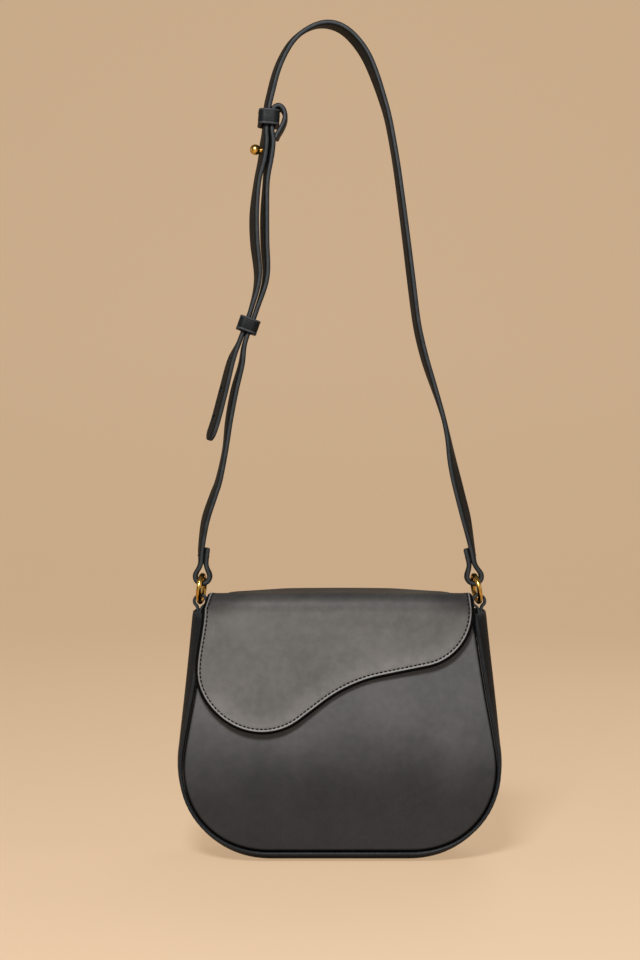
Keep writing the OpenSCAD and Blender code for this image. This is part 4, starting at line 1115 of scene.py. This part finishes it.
def tab(label, side):
    """A narrow strip of leather folded round the ring, its two ends sewn inside the gusset."""
    drop = TAB_HOLE_Z - GUSSET_TOP + TAB_TAIL
    c, s = direction(TAB_SLOPE)
    leg = [(0.93, -drop), (0.93, -drop * 0.7), (0.93, -drop * 0.45), (0.95, -6.6)]
    local = leg + [tuple(circle((0, 0), EYE_HOLE_R + TAB_T / 2, a)) for a in np.linspace(-62, 242, 19)]
    local += [(-x, z) for x, z in reversed(leg)]
    route = curve([(side * (TAB_X + x * c - z * s), TAB_HOLE_Z + x * s + z * c, 0.0, TAB_W) for x, z in local], 0.9)
    h, b = TAB_T / 2, TAB_W / 2
    section = mirrored([(h, 0), (h, b - 1.2), (h - 0.12, b - 0.9), (h - 0.05, b - 0.6), (h - 0.4, b - 0.1), (0, b)])
    verts = [strap_points(station, out, section, 0.0) for station, out in zip(route, ways_out(route))]
    marks = {"rim": mirrored_marks([0, 0, 0.3, 0.8, 1, 1]) * len(verts)}
    faces = tube_faces(len(verts), len(section))
    piece = make_object(f"tab_{label}_leather", np.vstack(verts), faces, STRAP_LEATHER, marks, sharp=50)
    dress(piece, "bag", "leather", f"tab_{label}")


tab("left", -1)
tab("right", 1)

# ---- solids that stay

for names, material in (
    (("ring_left", "ring_right", "ball_stud", "snap_socket", "snap_stud"), BRASS),
    (("stud_screw",), DARK_STEEL),
    (("snap_magnet", "snap_socket_washer", "snap_stud_washer"), STEEL),
    (("base_board",), stiff_board("base_board_fibre", (150, 132, 104), (176, 158, 128))),
):
    for name in names:
        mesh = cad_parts[name].data
        mesh.materials.clear()
        mesh.materials.append(material)

# ---- floor, backdrop and light, in metres

STAGE_NEAR, STAGE_HALF, WALL_Y, WALL_TOP, SWEEP_R = -4.0, 5, 2.6, 4.0, 0.6
GLOW = 0.6  # the stage's own light as the camera sees it; reflections see half of it
SKY_LIGHT, SKY_SEEN = 0.08, 0.62


def stage_sheet():
    """Floor that sweeps up into a backdrop. Its glow shows in the picture and in reflections and lights nothing."""
    floor_end = WALL_Y - SWEEP_R
    sweep = [(floor_end + SWEEP_R * math.sin(a), SWEEP_R - SWEEP_R * math.cos(a))
             for a in np.linspace(0, math.pi / 2, 16)[1:]]
    profile = [(STAGE_NEAR, 0.0), (floor_end, 0.0)] + sweep + [(WALL_Y, WALL_TOP)]
    verts = [(x / MM, y / MM, z / MM) for y, z in profile for x in (-STAGE_HALF, STAGE_HALF)]
    faces = [(2 * i, 2 * i + 1, 2 * i + 3, 2 * i + 2) for i in range(len(profile) - 1)]
    n = Nodes("floor")
    n.look(Base_Color=srgb(150, 133, 114), Roughness=0.6, Normal=n.bump(n.noise(12, 2), 0.05, 0.001))
    rays = n.add("ShaderNodeLightPath").outputs
    seen = n.math("MAXIMUM", rays["Is Camera Ray"], rays["Is Transmission Ray"])
    seen = n.math("MAXIMUM", seen, n.math("MULTIPLY", rays["Is Glossy Ray"], 0.5))
    glow = n.add("ShaderNodeEmission", Color=srgb(236, 200, 160), Strength=n.math("MULTIPLY", seen, GLOW))
    total = n.add("ShaderNodeAddShader")
    n.put(total.inputs[0], n.shader.outputs[0])
    n.put(total.inputs[1], glow.outputs[0])
    n.put(n.tree.nodes["Material Output"].inputs["Surface"], total.outputs[0])
    make_object("floor", verts, faces, n.material)


stage_sheet()

for name, place, aim_z, size, power, colour in (
    ("key", (-0.22, -1.2, 1.1), 0.14, 0.34, 24, (1, 1, 1)),
    ("front", (0.1, -2.0, 0.4), 0.2, 1.3, 3, (1, 1, 1)),
    ("rim", (0.5, 1.0, 1.1), 0.3, 0.8, 3, (1.0, 0.95, 0.88)),
    ("side", (1.6, -0.5, 0.6), 0.15, 0.9, 3, (1, 1, 1)),
    ("other_side", (-1.6, 0.2, 0.6), 0.15, 0.9, 1.5, (1, 1, 1)),
):
    data = bpy.data.lights.new(name, "AREA")
    data.size, data.energy, data.color = size, power, colour
    lamp = added(name, data)
    lamp.location = place
    way = np.array((0, 0, aim_z)) - place
    pitch = math.asin(way[2] / np.linalg.norm(way))
    lamp.rotation_euler = (math.pi / 2 + pitch, 0, -math.atan2(way[0], way[1]))

world = bpy.data.worlds.new("world")
bpy.context.scene.world = world
world.use_nodes = True
nodes, links = world.node_tree.nodes, world.node_tree.links
sky, rays, level = nodes["Background"], nodes.new("ShaderNodeLightPath"), nodes.new("ShaderNodeMapRange")
level.inputs["To Min"].default_value, level.inputs["To Max"].default_value = SKY_LIGHT, SKY_SEEN
links.new(rays.outputs["Is Camera Ray"], level.inputs["Value"])
links.new(level.outputs["Result"], sky.inputs["Strength"])
sky.inputs["Color"].default_value = (0.9, 0.88, 0.85, 1)
bpy.context.scene.view_settings.view_transform = "Standard"
